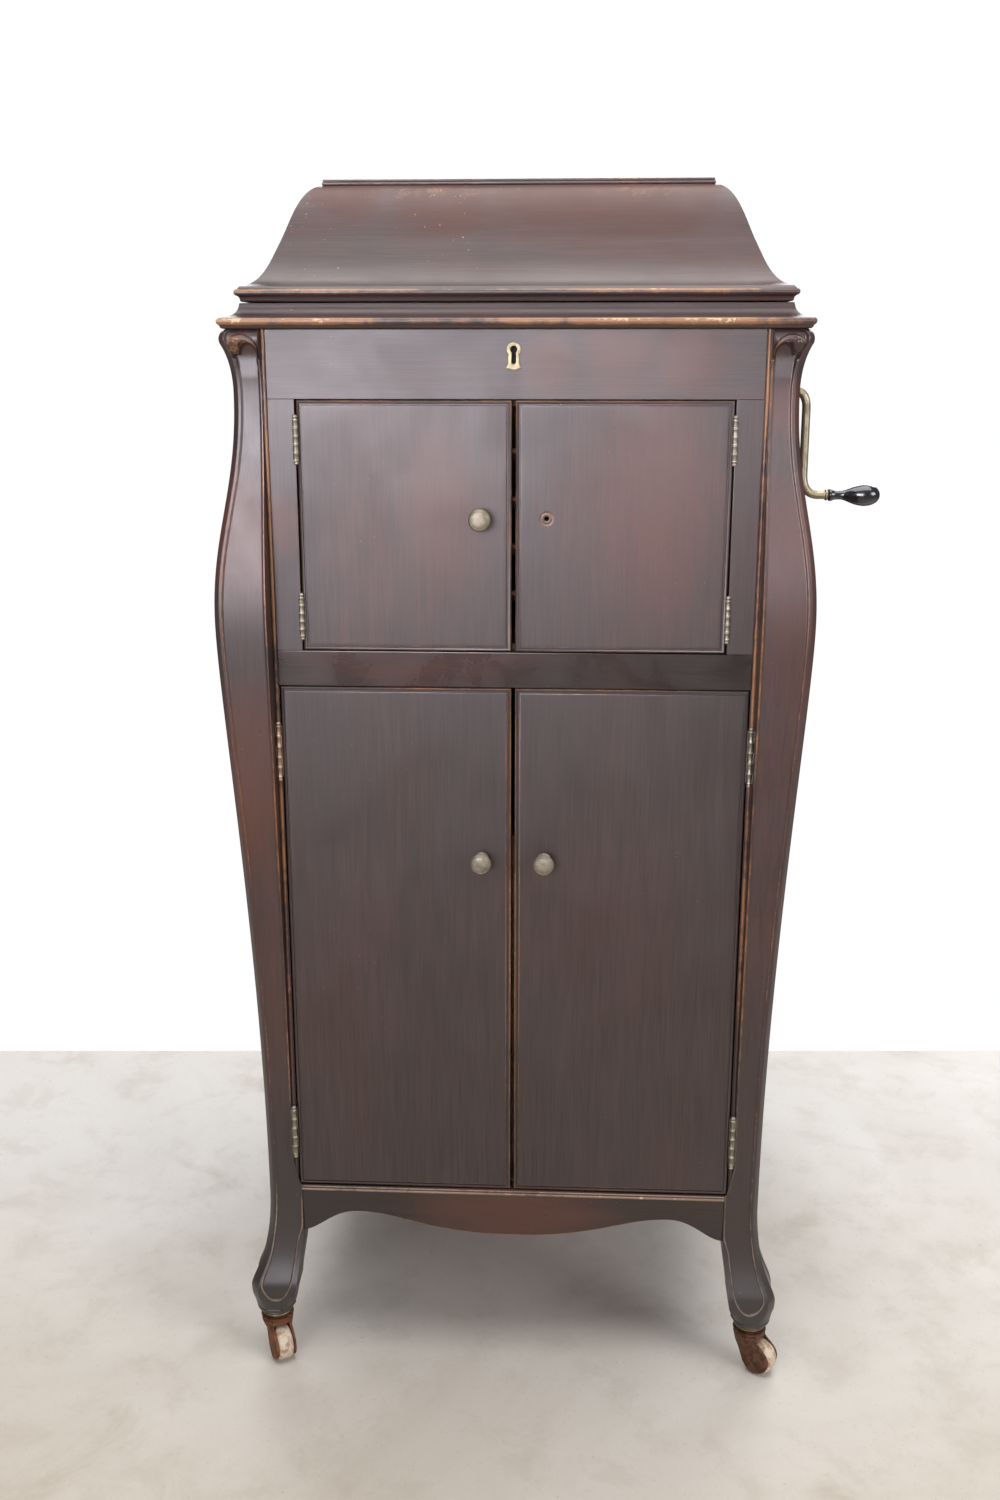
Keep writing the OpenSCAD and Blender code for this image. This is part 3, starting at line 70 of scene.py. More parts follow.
def middle(node):
    """Middle of a CAD node."""
    low, high = corners(node)
    return (low + high) / 2


# Widths and thicknesses of the maker's stock, and the gaps left for moving parts
BEAD_WIDTH = 4.6
PANEL = 12
APRON_HALF = 9
APRON_SET_IN = 10.5
DOOR_GAP = 0.8
STILE_GAP = 1.4

NECK_X = corners("bead_strips")[1].x
NECK_Y = -corners("face_frame")[0].y
CASE_TOP = corners("face_frame")[1].z
RAIL_Z = corners("face_frame")[0].z
CASE_BOTTOM = corners("door_lower_right")[0].z - DOOR_GAP
APRON_TOP = corners("front_apron")[1].z
FOOT_Z = corners("post_front_right")[0].z
POST_IN = corners("post_front_right")[0].x - NECK_X
FRAME_BACK = corners("face_frame")[1].y
BEAD_X = corners("face_frame")[1].x
POST_X = BEAD_X + BEAD_WIDTH
BEAD_Y = corners("side_panels")[1].y
CORNICE_TOP = corners("cornice")[1].z
LID_Z = corners("lid_nosing")[0].z
COVE_Z = corners("lid_shell")[0].z
LID_TOP = corners("lid_shell")[1].z
COVE_IN = NECK_X + 2 - corners("lid_top_board")[1].x
BOARD_TOP = corners("lid_top_board")[1].z
UPRIGHT = Vector((0, 0, 1))
ACROSS = Vector((1, 0, 0))
DEEP = Vector((0, 1, 0))


# ---- What a user would change -------------------------------------------------------------


def size(label, text, value, least, most):
    """A size that a user can change, in millimetres, or a share."""
    return FloatProperty(name=label, description=text, default=value, min=least, max=most)


class CabinetSizes(bpy.types.PropertyGroup):
    """Sizes of the carving, the mouldings and the wear, in millimetres."""

    field_depth: size("Field depth", "Depth of the sunk field of a post", 1.2, 0.4, 3.0)
    border: size("Border", "Width of the border along the outer edge of a post", 7.6, 5.0, 10.0)
    crook_rise: size("Crook rise", "How far the scroll stands over the field under it", 4.6, 2.0, 7.0)
    door_bead: size("Door bead", "Width of the bead round a door", 3.0, 2.0, 5.0)
    grain: size("Grain relief", "Height of the open grain of the wood", 0.12, 0.0, 0.5)
    wear: size("Wear", "How much of the edges is rubbed through to bare wood", 1.0, 0.0, 2.0)


def colour(label, text, value):
    """A colour that a user can change, in linear light."""
    return FloatVectorProperty(name=label, description=text, default=value, size=3, min=0.0, max=1.0,
                               subtype="COLOR")


class CabinetColours(bpy.types.PropertyGroup):
    """Colours of the finishes."""

    mahogany: colour("Mahogany", "Varnished wood of the case", (0.047, 0.0245, 0.0225))
    dark: colour("Dark streak", "Darkest streaks and corners of the wood", (0.022, 0.0115, 0.011))
    red: colour("Red patch", "Wood where the varnish is thin", (0.092, 0.029, 0.017))
    rubbed: colour("Rubbed edge", "Edges rubbed to the stained wood", (0.26, 0.115, 0.042))
    raw: colour("Chip", "Bare wood in chips", (0.52, 0.36, 0.20))
    inside: colour("Inside wood", "Boards inside the case", (0.22, 0.105, 0.045))
    brass: colour("Brass", "Knobs, hinges and lock plate", (0.31, 0.275, 0.21))
    nickel: colour("Nickel", "Tonearm, sound box and turntable rim", (0.60, 0.57, 0.52))
    rust: colour("Rust", "Rusted caster iron", (0.23, 0.085, 0.035))
    felt: colour("Felt", "Felt of the turntable", (0.025, 0.075, 0.040))
    floor: colour("Floor", "Pale concrete floor", (0.50, 0.42, 0.305))


# ---- Meshes -------------------------------------------------------------------------------


def bezier(a, b, c, d, steps):
    """Points of a cubic curve between the points a and d."""
    points = []
    for i in range(steps + 1):
        t = i / steps
        s = 1 - t
        points.append(tuple(s * s * s * a[k] + 3 * s * s * t * b[k] + 3 * s * t * t * c[k] + t * t * t * d[k]
                            for k in range(len(a))))
    return points


def smooth(low, high, value):
    """0 below low, 1 above high, and a soft step between."""
    t = np.clip((value - low) / (high - low), 0, 1)
    return t * t * (3 - 2 * t)


def at(x, y, z):
    """A move."""
    return Matrix.Translation((x, y, z))


def turned(degrees, axis):
    """A turn about an axis."""
    return Matrix.Rotation(math.radians(degrees), 4, axis)


def blank():
    """An empty mesh that can hold wear and grain."""
    bm = bmesh.new()
    bm.verts.layers.float.new("wear")
    bm.faces.layers.float_vector.new("grain")
    return bm


def sheet(columns, rows, place):
    """A grid whose vertex in column i and row j stands at place(i, j): x, y, z and its wear."""
    bm = blank()
    wear = bm.verts.layers.float["wear"]
    for vert in bmesh.ops.create_grid(bm, x_segments=columns, y_segments=rows, size=1.0)["verts"]:
        i = round((vert.co.x + 1) / 2 * columns)
        j = round((vert.co.y + 1) / 2 * rows)
        x, y, z, rub = place(i, j)
        vert.co = (x, y, z)
        vert[wear] = rub
    return bm


def sew(bm, gap=0.004):
    """Join the vertices that lie on each other."""
    bmesh.ops.remove_doubles(bm, verts=bm.verts, dist=gap)


def cap(bm):
    """Close every open rim with a face."""
    rims = [e for e in bm.edges if e.is_boundary]
    if rims:
        bmesh.ops.holes_fill(bm, edges=rims, sides=0)


def closed(columns, rows, place):
    """A sheet that is sewn up and capped."""
    bm = sheet(columns, rows, place)
    sew(bm)
    cap(bm)
    return bm


def run_grain(bm, choose):
    """Give every face the direction of its grain, a vector or a function of the face, and return the mesh."""
    layer = bm.faces.layers.float_vector["grain"]
    for face in bm.faces:
        face[layer] = choose(face) if callable(choose) else choose
    return bm


def soften(bm, edges, width):
    """Round edges, and return the new vertices."""
    return bmesh.ops.bevel(bm, geom=edges, offset=width, offset_type="OFFSET", segments=2, profile=0.5,
                           affect="EDGES", material=-1)["verts"]


def put(bm, other):
    """Add the mesh other to bm."""
    mesh = bpy.data.meshes.new("part")
    other.to_mesh(mesh)
    other.free()
    bm.from_mesh(mesh)
    bpy.data.meshes.remove(mesh)


def moved(bm, matrix):
    """The same mesh after a turn or a move."""
    bmesh.ops.transform(bm, matrix=matrix, verts=bm.verts)
    return bm


def flipped(bm, x=1, y=1):
    """The mesh on the other side of the case, with its faces still outwards."""
    bmesh.ops.scale(bm, vec=(x, y, 1), verts=bm.verts)
    if x * y < 0:
        bmesh.ops.reverse_faces(bm, faces=bm.faces)
    return bm


def lathe(profile, steps=32):
    """A turned piece about Z: profile points are radius, height and wear."""

    def place(i, j):
        radius, z, worn = (*profile[j], 0)[:3]
        turn = 2 * math.pi * i / steps
        return (radius * math.cos(turn), radius * math.sin(turn), z, worn)

    return run_grain(closed(steps, len(profile) - 1, place), UPRIGHT)


def tube(path, radius, sides=20):
    """A round bar along points in an upright plane that faces Y."""
    points = [Vector(p) for p in path]

    def place(i, j):
        ahead = points[min(j + 1, len(points) - 1)] - points[max(j - 1, 0)]
        side = ahead.normalized().cross(DEEP)
        turn = 2 * math.pi * i / sides
        spot = points[j] + radius * (math.cos(turn) * side + math.sin(turn) * DEEP)
        return (*spot, 0)

    return closed(sides, len(points) - 1, place)


def block(low, high, soft=0.6):
    """A board between two corners, with soft edges."""
    bm = blank()
    bmesh.ops.create_cube(bm, size=1.0)
    low, high = Vector(low), Vector(high)
    moved(bm, Matrix.Translation((low + high) / 2) @ Matrix.Diagonal((*(high - low), 1)))
    if soft:
        soften(bm, bm.edges[:], soft)
        # a narrow rim holds the shading of each flat side flat
        flat = [f for f in bm.faces if max(abs(c) for c in f.normal) > 0.999]
        bmesh.ops.inset_individual(bm, faces=flat, thickness=soft, depth=0, use_even_offset=True)
    return bm


def arc(x, z, radius, start, end, steps):
    """Points of an arc in X and Z between two turns in degrees."""
    return [(x + radius * math.cos(turn), z + radius * math.sin(turn))
            for turn in np.linspace(math.radians(start), math.radians(end), steps)]


def loop(bm, points, y):
    """A closed loop of edges through points in X and Z."""
    rim = [bm.verts.new((x, y, z)) for x, z in points]
    return [bm.edges.new(pair) for pair in zip(rim, rim[1:] + rim[:1])]


def slab(outline, low, high, soft=0.5, hole=()):
    """A flat outline in X and Z, as thick as from y low to y high, with soft edges and perhaps a hole."""
    bm = blank()
    wear = bm.verts.layers.float["wear"]
    if hole:
        edges = loop(bm, outline, low) + loop(bm, hole, low)
        bmesh.ops.triangle_fill(bm, edges=edges, use_beauty=True, normal=DEEP)
    else:
        bm.faces.new([bm.verts.new((x, low, z)) for x, z in outline])
    drawn = bmesh.ops.extrude_face_region(bm, geom=bm.faces[:])
    bmesh.ops.translate(bm, vec=(0, high - low, 0),
                        verts=[g for g in drawn["geom"] if isinstance(g, bmesh.types.BMVert)])
    bmesh.ops.recalc_face_normals(bm, faces=bm.faces)
    if soft:
        edges = [e for e in bm.edges if abs(e.verts[0].co.y - e.verts[1].co.y) < 1e-6
                 and e.calc_face_angle(0) > 1]
        for vert in soften(bm, edges, soft):
            vert[wear] = 0.55
        # the wear ends at a line inside the edge
        flat = [f for f in bm.faces if abs(f.normal.y) > 0.999]
        bmesh.ops.inset_region(bm, faces=flat, thickness=soft, depth=0, use_even_offset=True,
                               use_boundary=True)
        for vert in {v for f in flat for v in f.verts}:
            vert[wear] = 0
    return bm


def lifted(profile, lift):
    """A profile whose second measure is lifted: with heights, or with the y of faces."""
    return [(a, lift + b, worn) for a, b, worn in profile]


def ring_of_sides(profile, half_x, half_y, per_side):
    """Four mitred sides round the case: profile points are set-out, height and wear."""
    signs = [(-1, -1), (1, -1), (1, 1), (-1, 1), (-1, -1)]

    def place(i, j):
        out, z, rub = profile[j]
        side, t = divmod(i % (4 * per_side), per_side)
        (ax, ay), (bx, by) = signs[side], signs[side + 1]
        t = t / per_side
        return ((ax + (bx - ax) * t) * (half_x + out), (ay + (by - ay) * t) * (half_y + out), z, rub)

    bm = sheet(4 * per_side, len(profile) - 1, place)
    sew(bm)

    def along(face):
        spot = face.calc_center_median()
        return ACROSS if abs(spot.y) / half_y > abs(spot.x) / half_x else DEEP

    return run_grain(bm, along)


def raised_panel(x0, x1, z0, z1, profile, back, rings=(), worn=1.0):
    """A board with a moulded front: profile points are inset, y and wear, and back is the rear face.

    rings line a hole from the back to the front: points in X and Z, y and wear.
    worn is how much more the edge at x0 is worn than the edge at x1."""
    steps = [(0.35, back, 0), (0, back - 0.35, 0.3), (0, back - 1.6, 0), (0, profile[0][1] + 1.2, 0)]
    steps += profile

    def place(i, j):
        inset, y, rub = steps[j]
        cx, cz = [(x0 + inset, z0 + inset), (x1 - inset, z0 + inset), (x1 - inset, z1 - inset),
                  (x0 + inset, z1 - inset)][i % 4]
        return (cx, y, cz, rub * (worn if i % 4 in (0, 3) else 2 - worn))

    bm = sheet(4, len(steps) - 1, place)
    sew(bm)
    if rings:
        n = len(rings[0][0])
        put(bm, sheet(n, len(rings) - 1, lambda i, j: (
            rings[j][0][i % n][0], rings[j][1], rings[j][0][i % n][1], rings[j][2])))
        sew(bm)
        for y in (back, profile[-1][1]):
            rims = [e for e in bm.edges if e.is_boundary and all(abs(v.co.y - y) < 0.02 for v in e.verts)]
            bmesh.ops.triangle_fill(bm, edges=rims, use_beauty=True, normal=DEEP)
    cap(bm)
    return bm


def finish_piece(name, bm, body, look, stands_for=(), sharp=38):
    """Bring a mesh into the frame as a piece that rides on a body."""
    sew(bm, 0.002)
    bmesh.ops.recalc_face_normals(bm, faces=bm.faces)
    moved(bm, Matrix.Translation(MIDDLE) @ Matrix.Scale(MM, 4))
    mesh = bpy.data.meshes.new(name)
    bm.to_mesh(mesh)
    bm.free()
    mesh.polygons.foreach_set("use_smooth", [True] * len(mesh.polygons))
    mesh.set_sharp_from_angle(angle=math.radians(sharp))
    mesh.materials.append(finish(look))
    piece = bpy.data.objects.new(name, mesh)
    bpy.context.scene.collection.objects.link(piece)
    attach(piece, body)
    if stands_for:
        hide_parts(*stands_for)
    return piece


def dress(looks):
    """Give CAD nodes their finishes."""
    for node, look in looks.items():
        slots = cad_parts[node].data.materials
        slots.clear()
        slots.append(finish(look))


# ---- Finishes -----------------------------------------------------------------------------


# Painted shade that darkens the posts towards the bottom, the paler tone that their rubbed edges take there
# (which also paints the highlights on the apron beads), and the pale of a scuff
PAINTED_LOW_SHADE = (0.022, 0.0165, 0.0135)
PALE_RUB_AND_BEAD_HIGHLIGHT = (0.21, 0.17, 0.13)
SCUFF = (0.50, 0.44, 0.40)


def shade_of(tone, share, lift=0.0):
    """A colour made darker or lighter."""
    return tuple(share * c + lift for c in tone)


class Finish:
    """A material being made: each method adds a node and gives back its output."""

    def __init__(self, name, **shader):
        self.material = bpy.data.materials.new(name)
        self.material.use_nodes = True
        self.tree = self.material.node_tree
        self.shader = self.tree.nodes["Principled BSDF"]
        for key, value in shader.items():
            self.shader.inputs[key.replace("_", " ")].default_value = value
        self.spot = self.add("ShaderNodeTexCoord").outputs["Object"]

    def add(self, kind, inputs=None, **settings):
        node = self.tree.nodes.new(kind)
        for key, value in settings.items():
            setattr(node, key, value)
        for key, value in (inputs or {}).items():
            if isinstance(value, bpy.types.NodeSocket):
                self.tree.links.new(value, node.inputs[key])
            else:
                node.inputs[key].default_value = value
        return node

    def math(self, operation, a, b=0.0):
        return self.add("ShaderNodeMath", {0: a, 1: b}, operation=operation).outputs[0]

    def vector(self, operation, result, **inputs):
        named = {0: inputs["a"], 1: inputs["b"]} if "b" in inputs else {0: inputs["a"]}
        if "scale" in inputs:
            named["Scale"] = inputs["scale"]
        return self.add("ShaderNodeVectorMath", named, operation=operation).outputs[result]

    def plus(self, a, b, share):
        """a and a share of b."""
        return self.math("ADD", a, self.math("MULTIPLY", b, share))

    def stretched(self, scale, turn=(0, 0, 0)):
        """The place on the piece, stretched and turned to lay a grain or a streak along it."""
        setting = {"Vector": self.spot, "Scale": scale, "Rotation": turn}
        return self.add("ShaderNodeMapping", setting).outputs[0]

    def noise(self, spot, scale, detail=3.0, rough=0.55, twist=0.0):
        return self.add("ShaderNodeTexNoise", {"Vector": spot, "Scale": scale, "Detail": detail,
                                               "Roughness": rough, "Distortion": twist}).outputs[0]

    def step(self, value, low, high, start=0.0, end=1.0):
        """Goes softly from start to end while the value goes from low to high."""
        ends = {"Value": value, "From Min": low, "From Max": high, "To Min": start, "To Max": end}
        return self.add("ShaderNodeMapRange", ends, interpolation_type="SMOOTHSTEP").outputs[0]

    def mix(self, share, a, b):
        """Blends two colours, each an output or three numbers."""
        shown = [c if isinstance(c, bpy.types.NodeSocket) else (*c, 1.0) for c in (a, b)]
        return self.add("ShaderNodeMix", {0: share, 6: shown[0], 7: shown[1]}, data_type="RGBA").outputs[2]

    def own(self, name, kind):
        """An attribute of the mesh."""
        return self.add("ShaderNodeAttribute", attribute_name=name).outputs[kind]

    def along_grain(self, squeeze):
        """Object coordinates squeezed along each face's own grain."""
        grain = self.own("grain", "Vector")
        length = self.vector("DOT_PRODUCT", "Value", a=self.spot, b=grain)
        back = self.vector("SCALE", 0, a=grain, scale=self.math("MULTIPLY", length, squeeze - 1.0))
        return self.vector("ADD", 0, a=self.spot, b=back)

    def near(self, x, y, z, radius, flat=(1, 1, 1)):
        """1 at a place on the cabinet, in millimetres, and 0 at a radius; flat squeezes the axes."""
        place = MIDDLE + Vector((x, y, z)) * MM
        centred = self.add("ShaderNodeMapping", {
            "Vector": self.spot, "Scale": flat, "Location": tuple(-k * f for k, f in zip(place, flat))})
        return self.step(self.vector("LENGTH", "Value", a=centred.outputs[0]), 0.0, radius * MM, 1.0, 0.0)

    def most(self, values):
        top = values[0]
        for value in values[1:]:
            top = self.math("MAXIMUM", top, value)
        return top

    def flecks(self, spot, scale, size, share):
        """Small spots in a share of the cells of a scattered pattern."""
        cells = self.add("ShaderNodeTexVoronoi", {"Vector": spot, "Scale": scale, "Randomness": 1.0})
        chosen = self.add("ShaderNodeSeparateColor", {0: cells.outputs["Color"]})
        small = self.math("MULTIPLY", chosen.outputs[1], size)
        inside = self.math("LESS_THAN", cells.outputs["Distance"], small)
        picked = self.math("LESS_THAN", chosen.outputs[0], share)
        return self.math("MULTIPLY", inside, picked)

    def feed(self, socket, value):
        self.tree.links.new(value, self.shader.inputs[socket])

    def done(self, shade, rough, height, depth, strength):
        """The material, with its colour, its roughness and a relief of some depth."""
        relief = self.add("ShaderNodeBump", {"Height": height, "Distance": depth, "Strength": strength})
        self.feed("Base Color", shade)
        self.feed("Roughness", rough)
        self.feed("Normal", relief.outputs[0])
        return self.material


def wood(name, red_places=(), red_share=0.35, tone=None, gloss=0.40, flecked=0.25, darken_below=None, haze=0.38,
         patchy=0.68, thin=0.40):
    """Worn varnished mahogany. red_places are where the varnish is thin: x, y, z and radius in millimetres.

    gloss is the wood's roughness and haze the varnish's, flecked the share of pale flecks, darken_below the
    height under which a painted shade darkens it, patchy the least share of the edge wear, thin the thin
    varnish's weight."""
    looks, sizes = bpy.context.scene.cabinet_colours, bpy.context.scene.cabinet_sizes
    f = Finish(name, IOR=1.5, Coat_Roughness=haze, Coat_IOR=1.5)
    base = tone or looks.mahogany
    streak = f.noise(f.along_grain(0.06), 180.0, 5.0, 0.66, 0.2)
    fibre = f.noise(f.along_grain(0.02), 760.0, 3.0, 0.6)
    cloud = f.noise(f.along_grain(0.4), 7.5, 5.0, 0.62, 0.5)
    shade = f.mix(f.step(streak, 0.25, 0.75, 0.55, 0.0), base, looks.dark)
    shade = f.mix(f.step(fibre, 0.36, 0.60, 0.62, 0.0), shade, shade_of(base, 0.35))
    red = f.step(f.plus(cloud, streak, 0.3), 0.58, 0.90, 0.0, red_share)
    if red_places:
        placed = f.most([f.near(*p) for p in red_places])
        ragged = f.plus(f.noise(f.along_grain(0.22), 24.0, 6.0, 0.7, 0.4), placed, 0.8)
        red = f.math("MAXIMUM", red, f.step(ragged, 0.70, 1.38, 0.0, 0.65))
    shade = f.mix(red, shade, looks.red)
    bare = looks.rubbed
    # painted shade: below that height the wood is painted darker towards the bottom, and its rubbed edges
    # paler
    if darken_below:
        height = f.add("ShaderNodeSeparateXYZ", {0: f.spot}).outputs[2]
        low = f.step(f.plus(height, cloud, 0.12), 0.10, darken_below * MM, 0.85, 0.0)
        shade = f.mix(low, shade, PAINTED_LOW_SHADE)
        bare = f.mix(low, bare, PALE_RUB_AND_BEAD_HIGHLIGHT)
    # edges rubbed through, and chips down to the raw wood
    uneven = f.step(f.noise(f.spot, 9.0, 3.0, 0.6, 0.3), 0.36, 0.62, patchy, 1.12)
    wear = f.math("MULTIPLY", f.own("wear", "Fac"), f.math("MULTIPLY", uneven, sizes.wear))
    scatter = f.noise(f.spot, 90.0, 6.0, 0.72, 0.6)
    shade = f.mix(f.step(f.plus(wear, scatter, 0.9), 0.78, 1.12, 0.0, 0.85), shade, bare)
    chips = f.step(f.math("ADD", wear, f.noise(f.spot, 170.0, 4.0, 0.62, 0.8)), 1.38, 1.46, 0.0, 0.9)
    shade = f.mix(chips, shade, looks.raw)
    # pale specks and short scuffs, in patches
    patch = f.step(f.noise(f.spot, 8.0, 4.0, 0.6), 0.50, 0.64)
    specks = f.math("MULTIPLY", f.flecks(f.spot, 230.0, 0.15, flecked), patch)
    drawn = f.stretched((1.0, 1.0, 4.5), (0.0, 0.5, 0.3))
    scuffs = f.math("MULTIPLY", f.flecks(drawn, 60.0, 0.04, flecked), patch)
    shade = f.mix(f.math("MULTIPLY", f.math("MAXIMUM", specks, scuffs), 0.6), shade, SCUFF)
    f.feed("Coat Weight", f.step(red, 0.0, 0.6, 0.45, thin))
    bloom = f.plus(f.noise(f.spot, 11.0, 4.0, 0.65, 0.5), red, -0.06)
    height = f.plus(f.plus(f.math("MULTIPLY", fibre, 0.8), streak, 0.4), chips, -0.8)
    return f.done(shade, f.step(bloom, 0.25, 0.75, gloss - 0.05, gloss + 0.12), height, sizes.grain * MM, 0.6)


def plain_wood(name, tone, gloss=0.5, way=(1.0, 0.05, 1.0)):
    """Thinly varnished board inside the case, with its grain along one axis."""
    f = Finish(name, IOR=1.45)
    grain = f.stretched(way)
    rings = f.noise(grain, 46.0, 5.0, 0.62, 0.8)
    fibre = f.noise(grain, 520.0, 3.0, 0.6)
    shade = f.mix(f.step(rings, 0.32, 0.68), shade_of(tone, 0.55), shade_of(tone, 1.15))
    shade = f.mix(f.step(fibre, 0.38, 0.62, 0.4, 0.0), shade, shade_of(tone, 0.4))
    dust = f.step(f.noise(f.spot, 7.0, 4.0, 0.6), 0.42, 0.7, 0.0, 0.35)
    shade = f.mix(dust, shade, shade_of(tone, 0.5, 0.07))
    return f.done(shade, f.step(dust, 0.0, 0.35, gloss, gloss + 0.2), fibre, 0.1 * MM, 0.6)


def metal(name, tone, rough=0.34, stain=None, stain_share=0.5, polish=None, copper=None):
    """Aged metal with tarnish in clouds, fine scratches and edges rubbed bright.

    copper is a place where it is stained coppery: x, y, z and radius in millimetres."""
    f = Finish(name, Metallic=1.0)
    cloud = f.noise(f.spot, 85.0, 5.0, 0.65, 0.4)
    fine = f.noise(f.stretched((1.0, 1.0, 3.0)), 900.0, 3.0, 0.7)
    shade = f.mix(f.step(cloud, 0.40, 0.68, 0.0, stain_share), tone, stain or shade_of(tone, 0.30))
    shade = f.mix(f.step(fine, 0.52, 0.72, 0.0, 0.35), shade, shade_of(tone, 0.45))
    if copper:
        shade = f.mix(f.step(f.near(*copper), 0.1, 0.4, 0.0, 0.7), shade, (0.40, 0.24, 0.16))
    rub = f.step(f.own("wear", "Fac"), 0.2, 0.9, 0.0, 0.9 if polish else 0.7)
    shade = f.mix(rub, shade, polish or shade_of(tone, 1.35))
    return f.done(shade, f.step(cloud, 0.3, 0.7, rough, rough + 0.18), f.math("ADD", fine, cloud),
                  0.06 * MM, 0.5)


def rusted(name, tone):
    """Rusted iron with dark pits and flakes."""
    f = Finish(name, Metallic=0.35)
    cloud = f.noise(f.spot, 120.0, 6.0, 0.7, 0.6)
    pits = f.noise(f.spot, 620.0, 4.0, 0.65)
    shade = f.mix(f.step(cloud, 0.34, 0.66), shade_of(tone, 0.28), tone)
    shade = f.mix(f.step(pits, 0.55, 0.72, 0.0, 0.7), shade, shade_of(tone, 1.9))
    return f.done(shade, f.step(pits, 0.3, 0.7, 0.55, 0.85), f.math("ADD", pits, cloud), 0.4 * MM, 0.7)


def old_wheel(name):
    """Pale wooden caster wheel, stained round its hub and tread."""
    f = Finish(name, IOR=1.45)
    cloud = f.noise(f.spot, 110.0, 6.0, 0.7, 0.7)
    fine = f.noise(f.spot, 800.0, 4.0, 0.65)
    shade = f.mix(f.step(cloud, 0.42, 0.66), (0.66, 0.55, 0.42), (0.30, 0.17, 0.09))
    shade = f.mix(f.step(fine, 0.56, 0.70, 0.0, 0.6), shade, (0.24, 0.14, 0.08))
    return f.done(shade, f.step(cloud, 0.3, 0.7, 0.5, 0.75), f.math("ADD", fine, cloud), 0.3 * MM, 0.6)


def ebony(name):
    """Ebonised gloss of the crank handle, with fine rub marks."""
    f = Finish(name, IOR=1.5, Coat_Weight=0.8, Coat_Roughness=0.08)
    cloud = f.noise(f.spot, 60.0, 4.0, 0.6, 0.4)
    fine = f.noise(f.stretched((0.2, 1.0, 1.0)), 900.0, 3.0, 0.7)
    shade = f.mix(f.step(fine, 0.55, 0.75, 0.0, 0.6), (0.008, 0.008, 0.010), (0.05, 0.045, 0.045))
    shade = f.mix(f.step(f.own("wear", "Fac"), 0.3, 1.0, 0.0, 0.5), shade, (0.09, 0.05, 0.03))
    return f.done(shade, f.step(cloud, 0.35, 0.7, 0.14, 0.34), fine, 0.03 * MM, 0.4)


def felt(name, tone):
    """Napped felt, rubbed in rings by many records."""
    f = Finish(name, Sheen_Weight=0.2, Sheen_Roughness=0.5)
    nap = f.noise(f.spot, 1500.0, 4.0, 0.7)
    cloud = f.noise(f.spot, 26.0, 4.0, 0.6, 0.6)
    shade = f.mix(f.step(nap, 0.3, 0.7), shade_of(tone, 0.45), shade_of(tone, 1.5))
    shade = f.mix(f.step(cloud, 0.45, 0.7, 0.0, 0.5), shade, shade_of(tone, 0.6, 0.03))
    return f.done(shade, f.step(nap, 0.3, 0.7, 0.85, 1.0), nap, 0.5 * MM, 0.8)


def concrete(name, tone):
    """Pale smooth concrete with faint clouds, pits and a few crumbs, and painted light that makes it paler
    towards its back edge.
    """
    f = Finish(name, IOR=1.4)
    cloud = f.noise(f.spot, 1.9, 7.0, 0.62, 0.7)
    mottle = f.noise(f.spot, 14.0, 6.0, 0.7, 0.3)
    grit = f.noise(f.spot, 190.0, 4.0, 0.7)
    # painted light: the floor is painted paler and greyer towards its back edge
    back = f.step(f.plus(f.add("ShaderNodeSeparateXYZ", {0: f.spot}).outputs[1], cloud, 0.5), -1.1, 0.5)
    shade = f.mix(back, shade_of(tone, 1.08), (0.66, 0.64, 0.60))
    shade = f.mix(f.step(cloud, 0.3, 0.72, 0.22, 0.0), shade, shade_of(tone, 0.5))
    shade = f.mix(f.step(mottle, 0.48, 0.66, 0.0, 0.16), shade, shade_of(tone, 0.66))
    stain = f.step(f.noise(f.spot, 5.5, 6.0, 0.66, 0.8), 0.56, 0.74, 0.0, 0.26)
    shade = f.mix(stain, shade, (0.30, 0.235, 0.155))
    shade = f.mix(f.step(grit, 0.58, 0.75, 0.0, 0.5), shade, shade_of(tone, 0.72))
    return f.done(shade, f.step(mottle, 0.3, 0.7, 0.55, 0.8), f.math("ADD", grit, mottle), 0.6 * MM, 0.35)


FINISHES = {}


